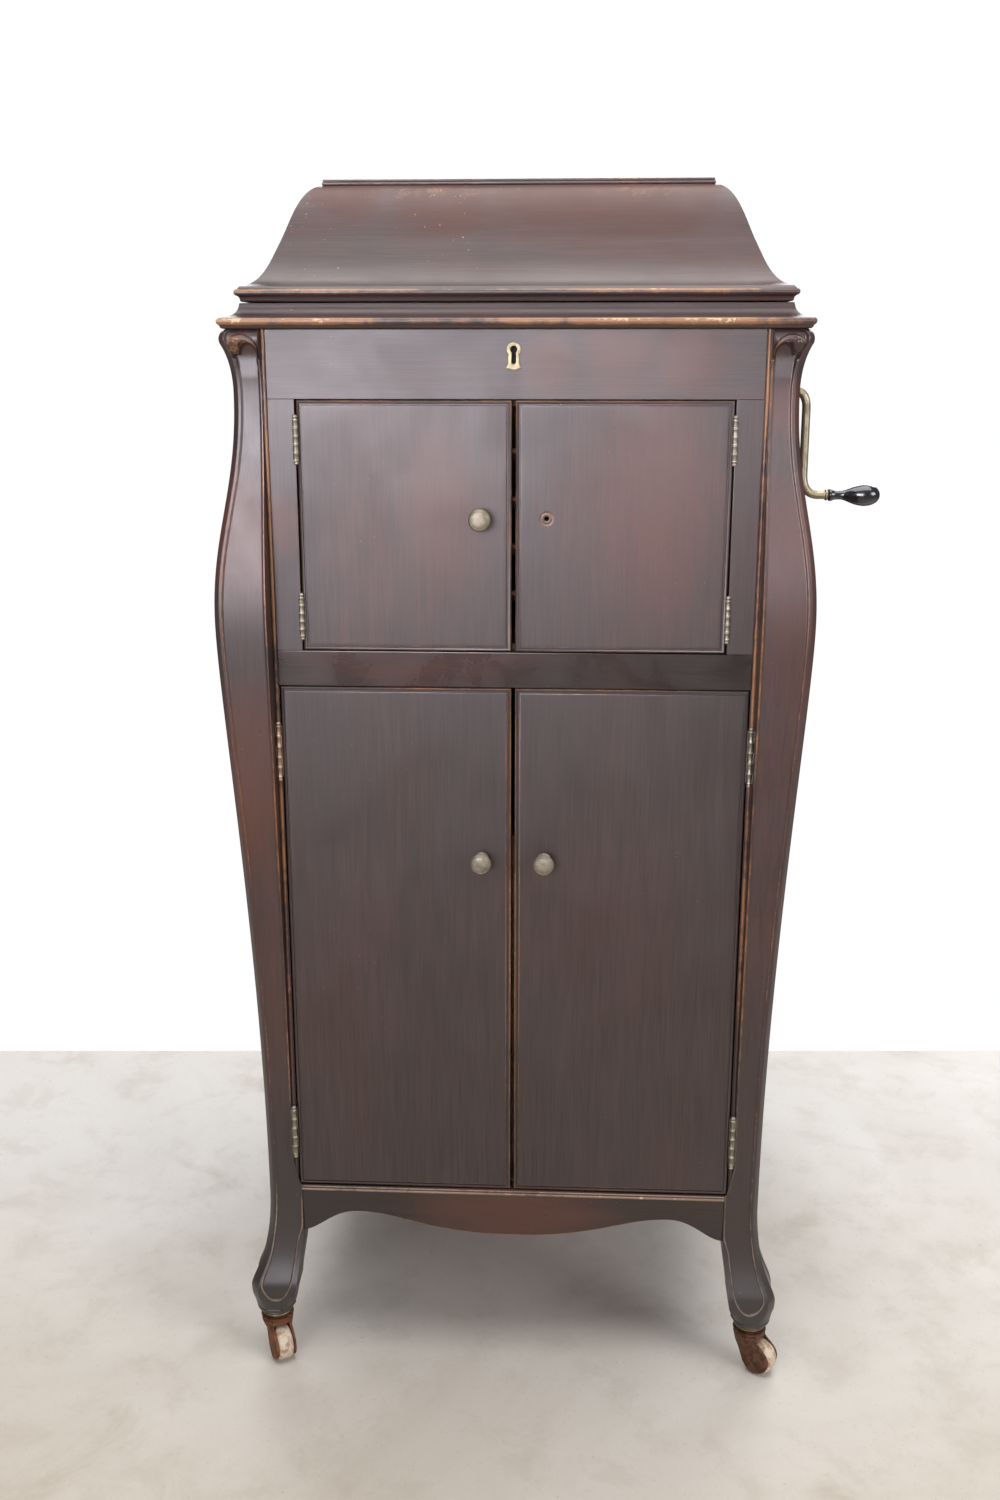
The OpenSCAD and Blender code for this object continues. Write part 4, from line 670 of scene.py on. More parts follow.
def finish(name):
    """Each finish is made once, when the first piece asks for it."""
    looks = bpy.context.scene.cabinet_colours
    w, d = NECK_X, -NECK_Y
    wide = (0.6, 1, 1.4)
    makers = {
        # the posts are painted darker below 560 mm, a painted shade
        "post_wood": lambda n: wood(n, [
            (-w, d, 856, 150), (w, d, 856, 130), (-w, d, 626, 190), (w - 10, d, 966, 60),
            (w, -d, 786, 200), (-w, -d, 786, 200)], 0.5, darken_below=560),
        "bead_wood": lambda n: wood(n, [], 0.4),
        "panel_wood": lambda n: wood(n, [(w, 60, 726, 220), (-w, -40, 526, 240)], 0.4),
        "frame_wood": lambda n: wood(n, [(90, d, 1016, 80), (150, d, 1011, 70), (30, d, 1006, 60),
                                         (-205, d, 866, 60), (-80, d, 736, 60)], 0.3),
        "rail_wood": lambda n: wood(n, [], 0.5, (0.020, 0.0105, 0.0095), 0.26, haze=0.2),
        "lid_wood": lambda n: wood(n, [
            (-60, -190, 1158, 150), (60, -195, 1152, 190, wide), (160, -200, 1151, 60),
            (-150, -200, 1156, 90), (0, 190, 1146, 160, wide)], 0.35, flecked=0.4, thin=0.0),
        "moulding_wood": lambda n: wood(n, [], 0.3, patchy=0.42),
        "upper_door_wood": lambda n: wood(n, [(120, d, 880, 150, (1, 1, 0.7)),
                                              (-60, d, 880, 120, (1.3, 1, 0.7))], 0.4),
        "lower_door_wood": lambda n: wood(n, [], 0.15, (0.041, 0.0245, 0.0225)),
        "apron_wood": lambda n: wood(n, [(10, d, 171, 90, (0.4, 1, 1))], 0.1,
                                     (0.015, 0.008, 0.0065), 0.3, haze=0.25),
        "back_wood": lambda n: plain_wood(n, (0.16, 0.085, 0.045), 0.6, (1.0, 1.0, 0.05)),
        "inside_wood": lambda n: plain_wood(n, looks.inside, 0.45, (0.05, 1.0, 1.0)),
        "horn_wood": lambda n: plain_wood(n, shade_of(looks.inside, 0.8)),
        "brass": lambda n: metal(n, looks.brass, 0.52),
        "hinge_brass": lambda n: metal(n, (0.29, 0.26, 0.20), 0.46, (0.13, 0.11, 0.08), 0.6,
                                       polish=(0.62, 0.57, 0.48), copper=(-220, d, 655, 60)),
        "lock_brass": lambda n: metal(n, (0.36, 0.315, 0.20), 0.42, (0.22, 0.18, 0.10), 0.4),
        "crank_brass": lambda n: metal(n, (0.42, 0.36, 0.25), 0.38, (0.17, 0.13, 0.08), 0.6),
        "nickel": lambda n: metal(n, looks.nickel, 0.20, (0.30, 0.25, 0.18), 0.35),
        "steel": lambda n: metal(n, (0.42, 0.41, 0.40)),
        "black_iron": lambda n: metal(n, (0.06, 0.055, 0.05), 0.42, (0.03, 0.025, 0.02), 0.4),
        "ferrule": lambda n: metal(n, (0.24, 0.22, 0.14), 0.45, (0.16, 0.08, 0.04), 0.7),
        "rust": lambda n: rusted(n, looks.rust),
        "dark_rust": lambda n: rusted(n, shade_of(looks.rust, 0.62, 0.012)),
        "wheel": old_wheel,
        "ebony": ebony,
        "felt": lambda n: felt(n, looks.felt),
        "concrete": lambda n: concrete(n, looks.floor),
    }
    if name not in FINISHES:
        FINISHES[name] = makers[name](name)
    return FINISHES[name]


# ---- Corner posts -------------------------------------------------------------------------

# Outer and inner edge of a post: set-out from the neck line and height, from the foot to the scroll
TOE_Z = FOOT_Z + 31
KNEE_Z = CASE_BOTTOM - 47
WAIST_Z = CASE_BOTTOM - 17
BULGE_Z = CASE_BOTTOM + 582
THROAT_Z = CASE_TOP - 54
POST_OUTER = (
    bezier((16.8, FOOT_Z), (18.6, FOOT_Z + 7), (20.3, TOE_Z - 10), (20.3, TOE_Z), 24)
    + bezier((20.3, TOE_Z), (20.3, TOE_Z + 12), (2, TOE_Z + 24), (0.5, WAIST_Z), 40)[1:]
    + bezier((0.5, WAIST_Z), (0, WAIST_Z + 289), (21.8, BULGE_Z - 80), (21.8, BULGE_Z), 60)[1:]
    + bezier((21.8, BULGE_Z), (21.8, BULGE_Z + 79), (0, THROAT_Z - 84), (0, THROAT_Z), 50)[1:]
    + bezier((0, THROAT_Z), (0, THROAT_Z + 18), (3, CASE_TOP - 22), (8.4, CASE_TOP - 12), 30)[1:]
    + bezier((8.4, CASE_TOP - 12), (9.8, CASE_TOP - 8), (9.0, CASE_TOP - 2.5), (4.0, CASE_TOP), 20)[1:])
POST_INNER = (
    bezier((-21.5, FOOT_Z), (-22.6, FOOT_Z + 6), (-25, FOOT_Z + 13), (-26, FOOT_Z + 24), 20)
    + bezier((-26, FOOT_Z + 24), (-28, FOOT_Z + 49), (-33.8, KNEE_Z - 26), (-33.8, KNEE_Z), 24)[1:]
    + [(-33.8, APRON_TOP), (-31.6, APRON_TOP + 1.2)]
    + bezier((-31.6, APRON_TOP + 1.2), (-30.0, APRON_TOP + 12), (-26.4, APRON_TOP + 24),
             (-26, APRON_TOP + 31), 8)
    + [(-26, CASE_TOP)])
OUTER_X, OUTER_Z = np.array(POST_OUTER).T
INNER_X, INNER_Z = np.array(POST_INNER).T
# Line of the rolled crook on a post's face, from its thin tail to the eye of the scroll:
# distance inside the outer edge at the scroll, height under the top of the case, half width
SCROLL_EDGE = 8.4
CROOK = [(33.0, 26.0, 0.4), (32.6, 20.5, 0.9), (31.6, 15.5, 1.6), (29.2, 12.2, 2.3), (25.8, 9.7, 3.0),
         (21.6, 7.9, 3.4), (16.8, 7.9, 3.7), (13.4, 9.8, 4.0), (12.4, 12.6, 4.2), (12.6, 15.6, 3.7)]
EYE = (12.6, 12.9, 5.4)
# Ends of the sunk field: arch under the scroll as inward, drop and half sizes, and the height at which
# the field starts to close round at the foot, with how far it still runs down
ARCH = (24.4, 21.5, 8.8, 11)
SHIELD = (TOE_Z + 13, 27)


def hump(away, width):
    """1 in the middle, and soft to both sides."""
    return np.exp(-(away / width) ** 2)


def crook_dome(inward, drop):
    """Height of the rolled crook, 0 to 1, at places on the face."""
    best = np.zeros_like(inward)
    for (ax, ay, ar), (bx, by, br) in zip(CROOK, CROOK[1:]):
        dx, dy = bx - ax, by - ay
        t = np.clip(((inward - ax) * dx + (drop - ay) * dy) / (dx * dx + dy * dy), 0, 1)
        gap = np.hypot(inward - ax - t * dx, drop - ay - t * dy) / (ar + (br - ar) * t)
        best = np.maximum(best, np.sqrt(np.clip(1 - gap * gap, 0, 1)))
    return best


def face_relief(out_gap, in_gap, offset, z, sizes):
    """Depth below the face and wear, from the gaps to both edges, the set-out and the height."""
    border = sizes.border + 3.0 * smooth(TOE_Z + 60, TOE_Z, z)
    inner_border = 1.2 + 4.2 * smooth(KNEE_Z + 3, KNEE_Z - 20, z)
    drop = CASE_TOP - z
    inward = SCROLL_EDGE - offset
    down = np.clip((SHIELD[0] - z) / SHIELD[1], 0, None)
    outside, within = out_gap - border, in_gap - inner_border
    half = (outside + within) / 2
    bottom = np.where(down > 0, (1 - np.hypot((outside - within) / 2 / half, down)) * half, 99.0)
    rise = np.clip((ARCH[1] - drop) / ARCH[3], 0, None)
    top = np.where(rise > 0, (1 - np.hypot((inward - ARCH[0]) / ARCH[2], rise)) * ARCH[2], 99.0)
    inside = np.minimum(np.minimum(outside, within), np.minimum(bottom, top))
    deep = sizes.field_depth + sizes.crook_rise * smooth(42, 18, drop)
    sunk = deep * smooth(0.0, 1.0 + 0.25 * deep, inside)
    # thin quirk along the middle of the outer border
    quirk = hump(out_gap - 0.66 * border, 0.45) * smooth(19, 26, drop) * smooth(TOE_Z, TOE_Z + 20, z)
    sunk = sunk + 0.45 * quirk
    # the roll over the arch, the eye of the scroll, and the flat spandrel behind them
    in_scroll = smooth(27, 23, drop) * (inside < 0.2) * smooth(6.0, 8.0, out_gap)
    dome = crook_dome(inward, drop)
    eye = np.hypot(inward - EYE[0], (drop - EYE[1]) * 0.86) / EYE[2]
    swirl = 0.5 * hump(eye - 0.58, 0.13)
    roll = 2.8 * (1 - np.maximum(dome, np.sqrt(np.clip(1 - eye * eye, 0, 1)))) + swirl
    sunk = sunk * (1 - in_scroll) + roll * in_scroll
    sunk = sunk + 1.1 * hump(out_gap - 6.6, 0.8) * smooth(20, 16, drop) * smooth(2, 5, drop)
    # worn along the field's edge, both edges of the face, the rim of the eye and the crook
    wear = (0.5 + 0.4 * smooth(CASE_BOTTOM, KNEE_Z, z)) * hump(inside, 0.75) + 0.25 * hump(out_gap, 1.4)
    wear = np.maximum(wear, 0.55 * hump(in_gap, 1.3) * smooth(CASE_BOTTOM, CASE_BOTTOM + 120, z))
    wear = np.maximum(wear, in_scroll * 0.75 * hump(eye - 0.92, 0.22) * (inward < EYE[0] + 2))
    wear = np.maximum(wear, in_scroll * 0.42 * (dome > 0.2))
    return sunk, wear


def rounded_foot(x, y, z, rub, centre, half):
    """A place on a post, drawn in where the foot rounds off into the ring that the caster fits."""
    share = float(smooth(FOOT_Z + 24, FOOT_Z + 5, z))
    if share > 0:
        dx, dy, radius = x - centre, y - centre, 1.06 * half
        reach = math.hypot(dx, dy) or 1.0
        goal = min(reach, radius + (reach - radius) * (1 - share)) - 0.9 * hump(z - FOOT_Z - 4.2, 0.9)
        x, y = centre + dx / reach * goal, centre + dy / reach * goal
    return (NECK_X + x, NECK_Y + y, z, rub)


def post_mesh(sizes):
    """The post of the rear right corner: rings of a canted square from the foot to the scroll."""
    heights = np.unique(np.concatenate([
        np.arange(FOOT_Z, KNEE_Z, 0.8), np.arange(KNEE_Z, CASE_TOP - 60, 5.5),
        np.arange(CASE_TOP - 60, CASE_TOP, 0.65), np.linspace(APRON_TOP, APRON_TOP + 31, 12),
        [APRON_TOP + 1.2, CASE_TOP]]))
    # columns close to the outer and the inner edge keep their distance; those between them spread
    near_out, near_in, between, cant_n = np.arange(0, 10.2, 0.6), np.arange(0, 7, 0.7), 38, 6
    rings = []
    for z in heights:
        out = float(np.interp(z, OUTER_Z, OUTER_X))
        inn = float(np.interp(z, INNER_Z, INNER_X))
        cant = (7 + 6 * max(0, WAIST_Z - z) / (WAIST_Z - FOOT_Z)) / math.sqrt(2)
        width = out - inn - cant
        core = np.linspace(near_out[-1], width - near_in[-1], between + 2)[1:-1]
        gaps = np.concatenate([near_out, core, width - near_in[::-1]])
        offset = out - cant - gaps
        sunk, rub = face_relief(gaps + cant, width - gaps, offset, np.full_like(gaps, z), sizes)
        sunk = sunk * (smooth(0, 1.2, gaps) * smooth(0, 0.8, width - gaps))
        # one face, the canted corner, the other face and the two sides in the case
        ring = [(s, out - d, r) for s, d, r in zip(offset[::-1], sunk[::-1], rub[::-1])]
        for k in range(1, cant_n + 1):
            t = k / (cant_n + 1)
            bow = 0.12 * cant * t * (1 - t)
            ring.append((out - cant * (1 - t) + bow, out - cant * t + bow, 0.18))
        ring += [(out - d, s, r) for s, d, r in zip(offset, sunk, rub)]
        ring += [(out + (inn - out) * t, inn, 0.0) for t in (0.02, 0.5, 0.98)]
        ring += [(inn, inn + (out - inn) * t, 0.0) for t in (0.02, 0.5, 0.98)]
        rings.append([rounded_foot(x, y, z, r, (out + inn) / 2, (out - inn) / 2) for x, y, r in ring])
    columns = len(rings[0])
    return run_grain(closed(columns, len(heights) - 1, lambda i, j: rings[j][i % columns]), UPRIGHT)


class CABINET_OT_posts(bpy.types.Operator):
    """Model the four bombe corner posts, with their scrolls, sunk fields and feet"""

    bl_idname = "cabinet.posts"
    bl_label = "Corner posts"

    def execute(self, context):
        for end, y in (("front", -1), ("rear", 1)):
            for side, x in (("left", -1), ("right", 1)):
                name = f"post_{end}_{side}"
                bm = flipped(post_mesh(context.scene.cabinet_sizes), x, y)
                finish_piece(f"carved_{name}", bm, "cabinet", "post_wood", [name], 50)
        return {"FINISHED"}


# ---- Case ---------------------------------------------------------------------------------


# Lowest and highest line of the aprons' scallops, under the bottom of the case
APRON_DIP = 52.7
APRON_RISE = 30
# Lays a strip that faces Y along a side, which faces X
SWAP_X_Y = Matrix(((0, 1, 0, 0), (1, 0, 0, 0), (0, 0, 1, 0), (0, 0, 0, 1)))
# How far the middle of the keyhole's round end stands over the middle of the lock
KEY_LIFT = 3


class CABINET_OT_case(bpy.types.Operator):
    """Model the panels, the face frame, the bead strips and the aprons of the case"""

    bl_idname = "cabinet.case"
    bl_label = "Case"

    def execute(self, context):
        self.beads()
        self.frame_front()
        self.aprons()
        self.sides()
        return {"FINISHED"}

    def beads(self):
        """Beaded strips between the posts and the frame, and between the posts and the panels."""
        bm = bmesh.new()
        for x in (-1, 1):
            put(bm, flipped(self.bead_strip(BEAD_X, NECK_Y, 20), x, -1))
        for x in (-1, 1):
            for y in (-1, 1):
                put(bm, flipped(moved(self.bead_strip(BEAD_Y, NECK_X, 13.5), SWAP_X_Y), x, y))
        finish_piece("bead_strips_turned", bm, "cabinet", "bead_wood", ["bead_strips"])

    def bead_strip(self, start, face, depth):
        """A strip with a rounded bead between two quirks, standing the height of the case."""
        end, r, quirk = start + BEAD_WIDTH, BEAD_WIDTH / 2, face - 1.9
        outline = [(start + 0.05, face - depth), (start + 0.05, quirk), (start + 0.5, quirk)]
        outline += [(start + r - (r - 0.5) * math.cos(t), quirk + 1.85 * math.sin(t))
                    for t in np.linspace(0.15, math.pi - 0.15, 9)]
        outline += [(end - 0.5, quirk), (end - 0.05, quirk), (end - 0.05, face - depth)]
        n, rows = len(outline), 24

        def place(i, j):
            worn = 0.62 if 3 < i % n < n - 4 else 0.05
            z = CASE_BOTTOM + (CASE_TOP - CASE_BOTTOM) * j / rows
            return (*outline[i % n], z, worn * float(smooth(CASE_BOTTOM, CASE_BOTTOM + 330, z)))

        return run_grain(closed(n, rows, place), UPRIGHT)

    def frame_front(self):
        """Keyhole rail, middle rail and stiles."""
        low, high = corners("door_upper_right")
        fascia, upper, stile = high.z + DOOR_GAP, low.z - DOOR_GAP, high.x + STILE_GAP
        key_z = middle("lid_lock").z + KEY_LIFT
        hole = [(x, key_z + z) for x, z in KEYHOLE]
        bm = raised_panel(-BEAD_X, BEAD_X, fascia, CASE_TOP, [(0, 0.35 - NECK_Y, 0.3), (0.35, -NECK_Y, 0)],
                          FRAME_BACK, [(hole, FRAME_BACK, 0), (hole, -NECK_Y, 0)])
        run_grain(bm, ACROSS)
        for x in (-1, 1):
            upright = block((stile, -NECK_Y, upper), (BEAD_X, FRAME_BACK, fascia), 0.35)
            put(bm, flipped(run_grain(upright, UPRIGHT), x))
        finish_piece("keyhole_rail_and_stiles", bm, "cabinet", "frame_wood", ["face_frame"])
        rail = block((-BEAD_X, -NECK_Y, RAIL_Z), (BEAD_X, FRAME_BACK, upper), 0.5)
        finish_piece("middle_rail", run_grain(rail, ACROSS), "cabinet", "rail_wood")

    def apron_outline(self, half):
        """Lower edge of an apron: a flat arch on each side of a low middle."""
        crest, low, high = 0.74 * half, CASE_BOTTOM - APRON_DIP, CASE_BOTTOM - APRON_RISE
        side = bezier((half, low), (half - 16, low), (crest + 0.12 * half, high), (crest, high), 14)
        side += bezier((crest, high), (0.7 * crest, high), (0.57 * crest, low), (0, low), 22)[1:]
        return side + [(-x, z) for x, z in side[-2::-1]] + [(-half, APRON_TOP), (half, APRON_TOP)]

    def apron(self, half, worn):
        """An apron in the middle of the case, with some more wear towards its middle."""
        bm = slab(self.apron_outline(half), -APRON_HALF, APRON_HALF, 0.7)
        wear = bm.verts.layers.float["wear"]
        for vert in bm.verts:
            more = 1 - min(1, abs(vert.co.x) / (0.8 * half))
            vert[wear] = vert[wear] * (0.5 + worn * more) if vert.co.z < APRON_TOP - 5 else 0.15
        return bm

    def aprons(self):
        """Scalloped aprons with a bead along the front one's upper edge, painted pale as a highlight."""
        half = NECK_X + POST_IN
        bm = run_grain(moved(self.apron(half, 1.1), at(0, APRON_HALF - NECK_Y, 0)), ACROSS)
        finish_piece("front_apron_scalloped", bm, "cabinet", "apron_wood", ["front_apron"])
        bm = bmesh.new()
        for drop, radius in ((2.2, 0.9), (5.2, 1.4)):
            line = [(x, 0.2 - NECK_Y, APRON_TOP - drop) for x in np.linspace(-half, half, 30)]
            bead = tube(line, radius, 12)
            # painted highlights: wear all over the beads gives them the pale rubbed tone that the posts'
            # finish has low down
            wear = bead.verts.layers.float["wear"]
            for vert in bead.verts:
                vert[wear] = 0.7
            put(bm, bead)
        finish_piece("front_apron_beads", run_grain(bm, ACROSS), "cabinet", "post_wood")
        bm = run_grain(moved(self.apron(half, 0.4), at(0, NECK_Y - APRON_SET_IN, 0)), ACROSS)
        for x in (-1, 1):
            side = moved(self.apron(NECK_Y + POST_IN, 0.4),
                         at(x * (NECK_X - APRON_SET_IN), 0, 0) @ turned(90, "Z"))
            put(bm, run_grain(side, DEEP))
        finish_piece("side_aprons_scalloped", bm, "cabinet", "apron_wood", ["side_aprons"])

    def sides(self):
        """Side panels and the back."""
        low, high = corners("side_panels")
        inner, ledge = high.x - PANEL, corners("motor_board")[0].z
        bm = bmesh.new()
        for x in (-1, 1):
            side = block((inner, low.y, low.z), high, 0.3)
            put(side, block((inner - 15, low.y + 12, ledge - 15), (inner, high.y - 60, ledge), 0.5))
            put(bm, flipped(side, x))
        finish_piece("side_panels_veneered", run_grain(bm, UPRIGHT), "cabinet", "panel_wood", ["side_panels"])
        dress({"back_panel": "back_wood", "bottom_board": "inside_wood"})


# ---- Cornice and lid ----------------------------------------------------------------------


class CABINET_OT_cornice(bpy.types.Operator):
    """Model the cornice round the top of the case"""

    bl_idname = "cabinet.cornice"
    bl_label = "Cornice"

    def execute(self, context):
        profile = lifted([(3.2, 0.02, 0), (5.4, 0.35, 0), (6.6, 1.2, 0.1), (7.0, 2.3, 0.2), (7.5, 3.2, 0.4),
                          (8.7, 4.0, 0.68), (9.4, 5.4, 0.74), (9.5, 6.5, 0.74), (9.4, 7.2, 0.80),
                          (9.0, 8.2, 0.86), (7.8, 9.1, 0.6), (6.6, 9.4, 0.1), (5.6, 9.5, 0)], CASE_TOP)
        hollow = bezier((5.4, CASE_TOP + 9.7), (-2.2, CASE_TOP + 10.4), (-6.9, CORNICE_TOP - 8),
                        (-7.6, CORNICE_TOP - 1.6), 12)
        profile += [(x, z, 0) for x, z in hollow]
        profile += lifted([(-8.1, -0.2, 0.2), (-8.8, 0, 0.3), (-27, 0, 0.1), (-28, -0.6, 0.2)], CORNICE_TOP)
        profile += [(-28, CASE_TOP + 0.02, 0), profile[0]]
        bm = ring_of_sides(profile, NECK_X, NECK_Y, 10)
        finish_piece("cornice_moulding", bm, "cabinet", "moulding_wood", ["cornice"], 45)
        return {"FINISHED"}


class CABINET_OT_lid(bpy.types.Operator):
    """Model the lid: nosing, coved shell and flat board"""

    bl_idname = "cabinet.lid"
    bl_label = "Lid"

    def execute(self, context):
        nosing = lifted([(-31, 0.02, 0), (-9.6, 0.02, 0.1), (-8.9, 0.4, 0.2), (-8.6, 1.4, 0), (-8.2, 3.2, 0),
                         (-6.9, 4.6, 0.1), (-5.2, 5.3, 0.2), (-4.2, 6.5, 0.34), (-4.0, 7.8, 0.40),
                         (-4.4, 9.1, 0.62), (-5.5, 10.1, 0.84), (-6.7, 10.6, 0.2), (-7.2, 11.2, 0.1),
                         (-8.0, 12.3, 0.2)], LID_Z)
        nosing += [(-9.0, COVE_Z - 0.02, 0.1), (-31, COVE_Z - 0.02, 0), nosing[0]]
        bm = ring_of_sides(nosing, NECK_X, NECK_Y, 10)
        finish_piece("lid_nosing_moulding", bm, "lid", "moulding_wood", ["lid_nosing"], 45)
        self.shell()
        self.board()
        return {"FINISHED"}

    def cove(self, inset, lift, steps):
        """Ogee of the lid: a hollow below and a round shoulder above."""
        tall = LID_TOP - COVE_Z
        foot, mid, top = -9.5 - inset, -0.53 * COVE_IN - inset, -COVE_IN - inset
        low = bezier((foot, COVE_Z), (foot - 16, COVE_Z + 3), (mid + 8, COVE_Z + 0.24 * tall),
                     (mid, COVE_Z + 0.43 * tall), steps)
        high = bezier((mid, COVE_Z + 0.43 * tall), (mid - 9, COVE_Z + 0.65 * tall - lift),
                      (top + 19, LID_TOP - 2 - lift), (top, LID_TOP - lift), steps)
        return low + high[1:]

    def shell(self):
        """Coved shell, worn along the shoulder, with a wall as thick as the boards that it is made of."""
        outside = []
        for x, z in self.cove(0, 0, 20):
            shoulder = smooth(LID_TOP - 26, LID_TOP - 6, z) * smooth(LID_TOP, LID_TOP - 4, z)
            outside.append((x, z, 0.36 * float(shoulder)))
        inside = [(x, z, 0) for x, z in self.cove(12, 11, 10)]
        profile = [inside[0], (outside[0][0], COVE_Z, 0.15)] + outside[1:]
        bm = ring_of_sides(profile, NECK_X, NECK_Y, 16)
        inner = ring_of_sides(inside, NECK_X, NECK_Y, 4)
        for half in (bm, inner):
            rims = [e for e in half.edges if e.is_boundary]
            top = max(v.co.z for e in rims for v in e.verts)
            highest = [e for e in rims if min(v.co.z for v in e.verts) > top - 0.5]
            bmesh.ops.holes_fill(half, edges=highest, sides=0)
        bmesh.ops.reverse_faces(inner, faces=inner.faces)
        put(bm, inner)
        finish_piece("lid_shell_coved", bm, "lid", "lid_wood", ["lid_shell"], 30)

    def board(self):
        """Flat board on the shell, with a double bead round its edge."""
        profile = lifted([(-2, 0, 0), (1.4, 0.1, 0.1), (1.9, 0.9, 0.4), (1.9, 1.9, 0.4), (1.3, 2.5, 0.2),
                          (0.7, 2.9, 0), (1.1, 3.4, 0.2), (1.1, 4.2, 0.4)], LID_TOP)
        profile += lifted([(0.6, -0.2, 0.5), (-0.2, 0, 0.3), (-5, 0, 0)], BOARD_TOP)
        bm = ring_of_sides(profile, NECK_X - COVE_IN, NECK_Y - COVE_IN, 12)
        cap(bm)
        run_grain(bm, ACROSS)
        finish_piece("lid_board_moulded", bm, "lid", "moulding_wood", ["lid_top_board"], 40)


# ---- Doors --------------------------------------------------------------------------------


class CABINET_OT_doors(bpy.types.Operator):
    """Model the four doors with the bead scratched round their edges"""

    bl_idname = "cabinet.doors"
    bl_label = "Doors"

    def execute(self, context):
        bead = context.scene.cabinet_sizes.door_bead
        for level, look, meeting in (("upper", "upper_door_wood", 1.25), ("lower", "lower_door_wood", 1.5)):
            for side in ("left", "right"):
                node = f"door_{level}_{side}"
                low, high = corners(node)
                profile = lifted([(0.15, 1.3, 0.5), (0.5, 0.5, 0.55), (bead * 0.5, 0, 0.12),
                                  (bead - 0.4, 0.35, 0.1), (bead, 1.3, 0), (bead + 1.1, 1.3, 0),
                                  (bead + 1.3, 0.2, 0.45), (bead + 1.7, 0.03, 0.40), (bead + 2.3, 0, 0),
                                  (bead + 5, 0, 0)], low.y)
                rings = self.screw_hole(low.y, high.y) if node == "door_upper_right" else ()
                # the edges where a pair of doors meets are worn more
                worn = 2 - meeting if side == "left" else meeting
                bm = raised_panel(low.x, high.x, low.z, high.z, profile, high.y, rings, worn)
                run_grain(bm, UPRIGHT)
                finish_piece(f"{node}_beaded", bm, f"{level}_{side}_door", look, [node], 30)
        return {"FINISHED"}

    def screw_hole(self, front, back):
        """Rings of the empty screw hole, with the worn mark of the lost knob's foot round it."""
        other = middle("knob_upper_left")
        steps = [(2.0, back, 0)] + lifted([(2.0, 0.6, 0.5), (2.5, 0.1, 0.7), (3.1, 0, 0.35), (4.4, 0, 0.55),
                                           (5.2, 0.25, 0.8), (6.0, 0, 0.6), (7.2, 0, 0)], front)
        return [(arc(-other.x, other.z, radius, 0, 350, 36), y, worn) for radius, y, worn in steps]


class CABINET_OT_knobs(bpy.types.Operator):
    """Model the three turned brass knobs with their screws"""

    bl_idname = "cabinet.knobs"
    bl_label = "Knobs"

    def execute(self, context):
        for node, body in (("knob_upper_left", "upper_left_door"), ("knob_lower_left", "lower_left_door"),
                           ("knob_lower_right", "lower_right_door")):
            spot = middle(node)
            reach = -NECK_Y - corners(node)[0].y
            profile = [(0, 0, 0), (6.4, 0, 0), (6.8, 0.5, 0.3), (6.8, 1.4, 0.2), (6.0, 2.1, 0), (4.9, 3.0, 0),
                       (4.2, 4.6, 0), (4.0, 6.4, 0), (4.3, 8.2, 0), (5.4, 9.8, 0), (7.4, 11.0, 0.1),
                       (9.0, 12.3, 0.3), (9.8, 14.0, 0.5), (10.0, 15.6, 0.6), (9.6, 17.0, 0.5)]
            profile += lifted([(8.6, -1.1, 0.3), (8.3, -0.9, 0), (7.9, -1.0, 0), (7.2, -0.55, 0.2),
                               (4.6, -0.15, 0.3), (2.0, 0, 0.2), (0, 0, 0.2)], reach)
            face = at(spot.x, -NECK_Y, spot.z) @ turned(90, "X")
            screw = lathe([(0, -20), (4.5, -20), (4.5, -18.4), (2, -18), (2, 0.5), (0, 0.5)], 20)
            bm = moved(lathe(profile, 48), face)
            put(bm, moved(screw, face))
            finish_piece(f"{node}_turned", bm, body, "brass", [node], 40)
        return {"FINISHED"}


# ---- Hinges and lock ----------------------------------------------------------------------

# Radius of the knuckles, half the gap between two of them, their number, and the lengths of the hinges
DOOR_BARREL = 2.6
LID_BARREL = 3.0
KNUCKLE_GAP = 0.15
KNUCKLES = 5
HINGE_LENGTHS = {"upper": 36, "lower": 50, "lid": 60}
# Thickness of the leaves, depth of those of the doors, and half the gap between those of the lid
LEAF = 0.5
LEAF_DEPTH = 17.6
LID_GAP = 0.5
# Turns a hinge half that stands upright and reaches back into one that lies along X and reaches forward
LID_TURN = Matrix(((0, 0, 1, 0), (0, -1, 0, 0), (1, 0, 0, 0), (0, 0, 0, 1)))


